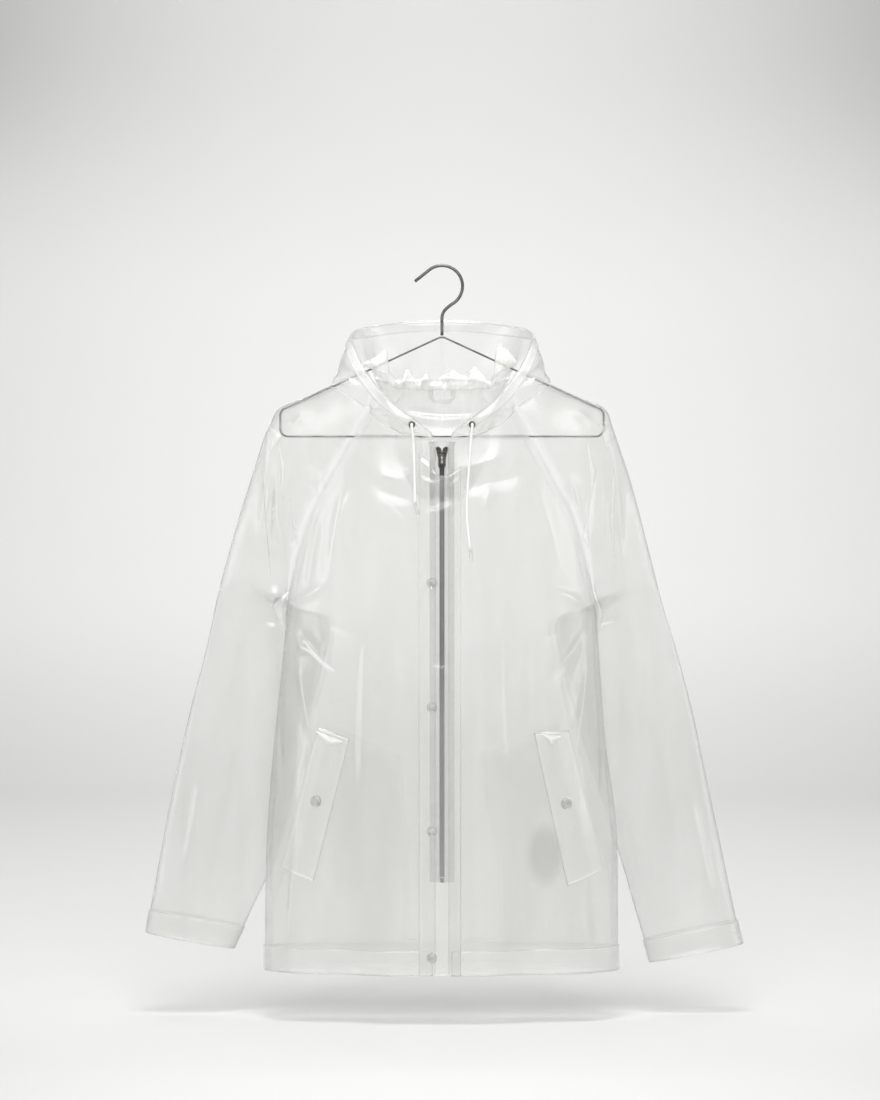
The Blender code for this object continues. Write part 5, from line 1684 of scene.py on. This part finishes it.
class RAINCOAT_OT_pockets(bpy.types.Operator):
    """Lays the pockets' bags inside the fronts and their welts outside"""

    bl_idname = "raincoat.pockets"
    bl_label = "Pockets"

    def execute(self, context):
        for side in SIDES:
            shade = patch_shade if side == "left" else None
            # painted lightening: the pocket bags are tinted lighter than the coat, against the shade where
            # they stack on the fronts
            inner = finish(f"Pocket film {side}", film_material, -0.06, 1.07, 0.0, shade)
            bag = film(
                f"bag_{side}", bag_place(side), cells(0.13), cells(0.28), inner, [f"pocket_bag_{side}"],
                lambda u, v: -1.6 * edge_worn(0.0, 0.05)(u, v),
            )

            def worn(u, v):
                return edge_worn(0.1, 0.05)(u, v) + 0.9 * (1 - ease(0.0, 0.07, v))

            # painted lightening: the welt is tinted lighter, against the shade of the layers under it
            outer = finish("Welt film", film_material, -0.02, 1.10, 0.10)
            welt = film(
                f"welt_{side}", welt_place(side), cells(0.05), cells(0.19), outer,
                [f"pocket_welt_{side}"], worn
            )
            # painted highlight: the welt folds' lighter, milkier film shows the bright strokes at the
            # pockets' tops
            highlight_fold_film = finish("Crumpled film", film_material, 0.02, 1.12, 0.34)

            def nearest(x, z, side=side):
                return on_front(SIGN[side] * x, z, WELT_OUT)[:, 1]

            place = fold_place(side, WELT_FOLDS[side], nearest, 0.0012, 0.0034)
            fold = film(f"welt_fold_{side}", place, 10, 16, highlight_fold_film, (), lambda u, v: 0.6 + 0.4 * u)
        return {"FINISHED"}


# ---- seams and stitching ----
class RAINCOAT_OT_seams(bpy.types.Operator):
    """Lays the raglan seams' allowances and stitches the raglans, hems, cuffs, hood casing, pocket welts and
    storm flap
    """

    bl_idname = "raincoat.seams"
    bl_label = "Seams and stitches"

    def execute(self, context):
        # painted lightening: the seam allowances are tinted lighter, against the shade of the extra layer
        seam = finish("Seam film", film_material, -0.26, 1.13, 0.0)
        lines = []
        for side in SIDES:

            def allowance(u, v, side=side):
                z = mix(RAGLAN_TOP_Z["front"], ARMPIT_Z, v)
                across = mix(0.0, ALLOWANCE, u)
                x = along(BODY, side, z) - 0.0006 - across
                return on_front(SIGN[side] * x, z, -LAYER * 0.55)

            made = film(
                f"raglan_allowance_{side}", allowance, 3, cells(0.27), seam, (), lambda u, v: -0.5 + 0.0 * u
            )
            v = steps(0.01, 0.99)
            z = mix(RAGLAN_TOP_Z["front"], ARMPIT_Z, v)
            x = along(BODY, side, z) - ALLOWANCE * 0.72
            lines.append(on_front(SIGN[side] * x, z, 0.00035))
            whole = np.full_like(v, 1.0)
            out = 0.5 + SIGN[side] * 0.5 * 0.965
            down = mix(0.01, (RAGLAN_TOP_Z["back"] - ARMPIT_Z) / (RAGLAN_TOP_Z["back"] - HEM_Z), v)
            lines.append(BACK_OUT_OF(whole * out, down, 0.00035))
            lines.append(FRONT_OUT[side](steps(0.02, 0.96), whole * 0.957, 0.00035))
            lines.append(SLEEVE_OUT[side](steps(0.015, 0.49), whole * 0.9625, 0.00035))
            lines.append(SLEEVE_OUT[side](steps(0.51, 0.985), whole * 0.9625, 0.00035))
            casing = hood_place(side, CASING_WIDTH, CASING_OUT + 0.0003)
            lines.append(casing(steps(0.02, 0.995), whole * 0.90))
            for u in (0.10, 0.90):
                x, z = welt_xz(side, whole * u, steps(0.02, 0.98))
                lines.append(on_front(SIGN[side] * x, z, WELT_OUT + 0.0004))
            x, z = welt_xz(side, steps(0.08, 0.92), whole * 0.98)
            lines.append(on_front(SIGN[side] * x, z, WELT_OUT + 0.0004))
        lines.append(BACK_OUT_OF(steps(0.03, 0.97), np.full(160, 0.9605), 0.00035))
        for u in (0.075, 0.93):
            line = flap_place(np.full(160, u), steps(0.03, 0.995))
            line[:, 1] -= 0.0004
            lines.append(line)
        stitching("stitching", lines)
        return {"FINISHED"}


# ---- trims ----
def cap_profile(radius, height):
    """A clear cap's outline: a dome over a stepped rim."""
    return (
        (0.0, height), (radius * 0.22, height * 0.995), (radius * 0.42, height * 0.95),
        (radius * 0.58, height * 0.85), (radius * 0.68, height * 0.70), (radius * 0.72, height * 0.58),
        (radius * 0.80, height * 0.56), (radius * 0.92, height * 0.50), (radius * 0.985, height * 0.36),
        (radius, height * 0.18), (radius, 0.0), (0.0, 0.0),
    )


class RAINCOAT_OT_snaps(bpy.types.Operator):
    """Sets the flap's and the pockets' snaps, each a clear cap over a darker stud"""

    bl_idname = "raincoat.snaps"
    bl_label = "Snaps"

    def execute(self, context):
        places = []
        for number, z in enumerate(FLAP_SNAP_Z, 1):
            y = float(flap_y(np.array(z))) - FLAP_OUT - 0.0009
            places.append((f"flap_snap_{number}", (FLAP_SNAP_X, y, z), (0, -1, 0), SNAP_RADIUS, 0.0020))
        for side in SIDES:
            x, z = WELTS[side].snap
            foot = on_front(SIGN[side] * x, z, WELT_OUT + 0.0009)
            ahead = on_front(SIGN[side] * x, z, WELT_OUT + 0.0030)
            places.append(
                (f"pocket_snap_{side}", tuple(foot), tuple(ahead - foot), POCKET_SNAP_RADIUS, 0.0022)
            )
        clear = finish("Clear plastic", plastic_material)
        dull = finish("Snap stud", metal_material, (0.42, 0.42, 0.41), 0.40, 300.0, 900.0)
        for name, place, facing, radius, height in places:
            cap = new_object(
                f"{name}_cap", turned_mesh(name, cap_profile(radius, height), place, facing), clear
            )
            settle(cap, [name])
            wide = radius * (0.82 if name.startswith("pocket") else 0.60)
            stud = ((0.0, -0.0001), (wide * 0.9, -0.0001), (wide, -0.0004), (wide, -0.0006), (0.0, -0.0006))
            stud = new_object(f"{name}_stud", turned_mesh(name, stud, place, facing, 24), dull)
            settle(stud)
        return {"FINISHED"}


def bevelled(name, place, size, edge, material):
    """A small block with its edges rounded."""
    shape = bmesh.new()
    matrix = Matrix.Translation(Vector(place)) @ Matrix.Diagonal((*size, 1.0))
    bmesh.ops.create_cube(shape, size=1.0, matrix=matrix)
    bmesh.ops.bevel(
        shape, geom=shape.edges[:], offset=edge, offset_type="OFFSET", segments=2, profile=0.5,
        affect="EDGES", material=-1,
    )
    bmesh.ops.recalc_face_normals(shape, faces=shape.faces)
    mesh = bpy.data.meshes.new(name)
    shape.to_mesh(mesh)
    shape.free()
    return new_object(name, mesh, material)


TAPE_TOP = NECK_Z["front"] - 0.002
TAPE_END = ZIP_BOTTOM_Z - 0.006


def tape_place(side):
    """One of the zip's tapes, a layer behind its front's edge."""

    def place(u, v):
        z = mix(TAPE_TOP, TAPE_END, v)
        x = front_edge_x(z) - FRONT_EDGE_X + mix(TAPE_X[0], TAPE_X[1], u)
        return points(SIGN[side] * x, body_y("front", side, x, z) - SEAM + LAYER, z)

    return place


# The loop's outer and inner lines, from one end round its foot to the other.
LoopCorner = namedtuple("LoopCorner", "outer_x inner_x outer_z inner_z")
LOOP = (
    LoopCorner(-0.0170, -0.0115, -0.1530, -0.1530),
    LoopCorner(-0.0170, -0.0115, -0.1650, -0.1650),
    LoopCorner(-0.0090, -0.0090, -0.1730, -0.1675),
    LoopCorner(0.0090, 0.0090, -0.1730, -0.1675),
    LoopCorner(0.0170, 0.0115, -0.1650, -0.1650),
    LoopCorner(0.0170, 0.0115, -0.1530, -0.1530),
)
LOOP_Y = 0.0136


def loop_place(u, v):
    corner = v * (len(LOOP) - 1)
    turns = np.arange(len(LOOP))
    outer, inner, top, low = (np.interp(corner, turns, line) for line in zip(*LOOP))
    return points(mix(outer, inner, u), LOOP_Y, mix(top, low, u))


class RAINCOAT_OT_zip(bpy.types.Operator):
    """Sets the zip's teeth on its tapes, and finishes its metal"""

    bl_idname = "raincoat.zip"
    bl_label = "Zip"

    def execute(self, context):
        metal = finish("Zip metal", metal_material, colours().teeth, 0.42, 260.0, 1800.0)
        pitch = sizes().tooth_pitch
        shape = bmesh.new()
        top, end = ZIP_TOP_Z - 0.012, ZIP_BOTTOM_Z
        count = int((top - end) / pitch)
        for index in range(count):
            for side in SIDES:
                z = top - pitch * (index + (0.25 if side == "left" else 0.75))
                y = float(flap_y(np.array(z))) + LAYER
                place = Matrix.Translation((SIGN[side] * 0.00105, y, z))
                size = Matrix.Diagonal((0.0042, 0.0023, pitch * 0.49, 1.0))
                bmesh.ops.create_cube(shape, size=1.0, matrix=place @ size)
        bmesh.ops.bevel(
            shape, geom=shape.edges[:], offset=0.00018, offset_type="OFFSET", segments=1, profile=0.5,
            affect="EDGES", material=-1,
        )
        for side in SIDES:
            rows = np.linspace(top, end, 90)
            bead = tube_mesh("bead", points(SIGN[side] * 0.0022, flap_y(rows) + LAYER * 1.6, rows), 0.0009, 8)
            shape.from_mesh(bead)
            bpy.data.meshes.remove(bead)
        teeth = bpy.data.meshes.new("teeth")
        shape.to_mesh(teeth)
        shape.free()
        settle(new_object("teeth", teeth, metal, smooth=False), ["zip_chain"])
        plated = finish("Plated metal", metal_material, (0.075, 0.072, 0.065), 0.24, 260.0, 1800.0)
        for name in ("zip_slider", "zip_pull", "zip_end_stop", "eyelet_right", "eyelet_left"):
            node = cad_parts[name]
            node.data.materials.clear()
            node.data.materials.append(plated)
        bright = finish("Rubbed metal", metal_material, (0.40, 0.39, 0.36), 0.20, 400.0, 1800.0)
        pull_front = -0.04468
        # painted highlight: a plate of lighter metal on the pull's face stands for its shiny centre
        made = bevelled(
            "pull_face", (0.0, pull_front - 0.00015, -0.2452), (0.0028, 0.0005, 0.0120), 0.0002, bright
        )
        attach(made, "zip_pull")
        hole = ((0.0, 0.0003), (0.0010, 0.0003), (0.0012, 0.0001), (0.0012, -0.0002), (0.0, -0.0002))
        hole = turned_mesh("pull_hole", hole, (0.0, pull_front - 0.0001, -0.2538), (0, -1, 0), 24)
        hole = new_object("pull_hole", hole, metal)
        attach(hole, "zip_pull")
        for side in SIDES:
            lobe = ((0.0, 0.0012), (0.0006, 0.0011), (0.0011, 0.0006), (0.0013, 0.0), (0.0, 0.0))
            lobe = turned_mesh(
                f"slider_lobe_{side}", lobe, (SIGN[side] * 0.0063, -0.0460, -0.2318), (0, -1, 0), 24
            )
            settle(new_object(f"slider_lobe_{side}", lobe, metal))
        settle(
            bevelled("slider_bail", (0.0, -0.0474, -0.2350), (0.0016, 0.0010, 0.0050), 0.0003, bright),
        )
        woven = finish("Zip tape", lambda name: tape_material())
        for side in SIDES:
            piece = film(
                f"tape_{side}", tape_place(side), cells(0.012, 8), cells(0.55), woven, [f"zip_tape_{side}"],
                wall=1.2, slot="tape",
            )
        material = finish("Loop film", film_material, 0.20)
        film("loop", loop_place, 6, 60, material, ["hanging_loop"], edge_worn(0.1))
        return {"FINISHED"}


# ---- the studio ----
def softbox(name, place, aim, width, height, power, colour_=(1.0, 1.0, 1.0)):
    light = bpy.data.lights.new(name, "AREA")
    light.shape = "RECTANGLE"
    light.size, light.size_y = width, height
    light.energy = power
    light.color = colour_
    obj = bpy.data.objects.new(name, light)
    obj.location = place
    obj.rotation_euler = (Vector(aim) - Vector(place)).to_track_quat("-Z", "Y").to_euler()
    bpy.context.scene.collection.objects.link(obj)
    return obj


class RAINCOAT_OT_camera(bpy.types.Operator):
    """Sets the camera in front of the coat"""

    bl_idname = "raincoat.camera"
    bl_label = "Camera"

    def execute(self, context):
        camera = bpy.data.cameras.new("camera")
        camera.sensor_fit = "VERTICAL"
        camera.angle = 2 * math.atan(0.700 / sizes().camera_distance)
        obj = bpy.data.objects.new("camera", camera)
        obj.location = (-0.0025, -sizes().camera_distance, -0.360)
        obj.rotation_euler = (math.pi / 2, 0.0, 0.0)
        context.scene.collection.objects.link(obj)
        context.scene.camera = obj
        return {"FINISHED"}


class RAINCOAT_OT_studio(bpy.types.Operator):
    """Puts up the studio's seamless paper and its lights"""

    bl_idname = "raincoat.studio"
    bl_label = "Studio"

    def execute(self, context):
        floor_z = sizes().floor_z
        shape = bmesh.new()
        front, back, tall, bend = -7.0, 4.8, 6.0, 1.6
        side = [(front, floor_z)]
        for step in range(17):
            angle = math.radians(90 * step / 16)
            side.append((back - bend + bend * math.sin(angle), floor_z + bend - bend * math.cos(angle)))
        side.append((back, floor_z + tall))
        corners = [shape.verts.new((-7.0, y, z)) for y, z in side]
        edges = [shape.edges.new(pair) for pair in zip(corners, corners[1:])]
        pushed = bmesh.ops.extrude_edge_only(shape, edges=edges)
        moved = [item for item in pushed["geom"] if isinstance(item, bmesh.types.BMVert)]
        bmesh.ops.translate(shape, verts=moved, vec=(14.0, 0.0, 0.0))
        bmesh.ops.recalc_face_normals(shape, faces=shape.faces)
        mesh = bpy.data.meshes.new("studio_paper")
        shape.to_mesh(mesh)
        shape.free()
        paper = new_object("studio_paper", mesh, finish("Studio paper", lambda name: paper_material()))

        world = bpy.data.worlds.new("Studio air")
        context.scene.world = world
        world.use_nodes = True
        world.node_tree.nodes["Background"].inputs["Color"].default_value = (1.0, 1.0, 0.99, 1.0)
        world.node_tree.nodes["Background"].inputs["Strength"].default_value = WORLD_STRENGTH
        for name, place, aim, width, height, power in LIGHTS:
            softbox(name, place, aim, width, height, power)
        context.scene.view_settings.view_transform = "Standard"
        return {"FINISHED"}


WORLD_STRENGTH = 0.585
LIGHTS = (
    ("top", (0.0, -0.80, 2.6), (0.0, 0.0, -0.9), 1.1, 0.8, 50.0),
    ("fill", (0.0, -4.4, 2.0), (0.0, 1.5, -0.6), 3.6, 2.4, 126.0),
    ("left", (-2.4, -2.1, 0.15), (0.0, 0.0, -0.4), 0.8, 1.9, 14.0),
    ("right", (2.5, -2.0, 0.10), (0.0, 0.0, -0.4), 0.8, 1.9, 12.0),
    ("wall", (0.0, 1.6, 3.6), (0.0, 4.8, 0.2), 3.6, 0.8, 70.0),
)


class RAINCOAT_PT_panel(bpy.types.Panel):
    """Lists the coat's pieces, sizes and colours"""

    bl_idname = "RAINCOAT_PT_panel"
    bl_label = "Raincoat"
    bl_space_type = "VIEW_3D"
    bl_region_type = "UI"
    bl_category = "Raincoat"

    def draw(self, context):
        for group in (context.scene.raincoat_sizes, context.scene.raincoat_colours):
            box = self.layout.box()
            for key in group.__annotations__:
                box.prop(group, key)
        column = self.layout.column()
        for operator in OPERATORS:
            column.operator(operator.bl_idname)


OPERATORS = (
    RAINCOAT_OT_camera,
    RAINCOAT_OT_drawstring,
    RAINCOAT_OT_hanger,
    RAINCOAT_OT_body,
    RAINCOAT_OT_sleeves,
    RAINCOAT_OT_hood,
    RAINCOAT_OT_turn_ups,
    RAINCOAT_OT_flap,
    RAINCOAT_OT_pockets,
    RAINCOAT_OT_seams,
    RAINCOAT_OT_snaps,
    RAINCOAT_OT_zip,
    RAINCOAT_OT_studio,
)
CLASSES = (RaincoatSizes, RaincoatColours, *OPERATORS, RAINCOAT_PT_panel)


def register():
    for made in CLASSES:
        bpy.utils.register_class(made)
    bpy.types.Scene.raincoat_sizes = bpy.props.PointerProperty(type=RaincoatSizes)
    bpy.types.Scene.raincoat_colours = bpy.props.PointerProperty(type=RaincoatColours)


def unregister():
    del bpy.types.Scene.raincoat_colours
    del bpy.types.Scene.raincoat_sizes
    for made in reversed(CLASSES):
        bpy.utils.unregister_class(made)


def main():
    register()
    for operator in OPERATORS:
        group, name = operator.bl_idname.split(".")
        getattr(getattr(bpy.ops, group), name)()


if __name__ == "__main__":
    main()
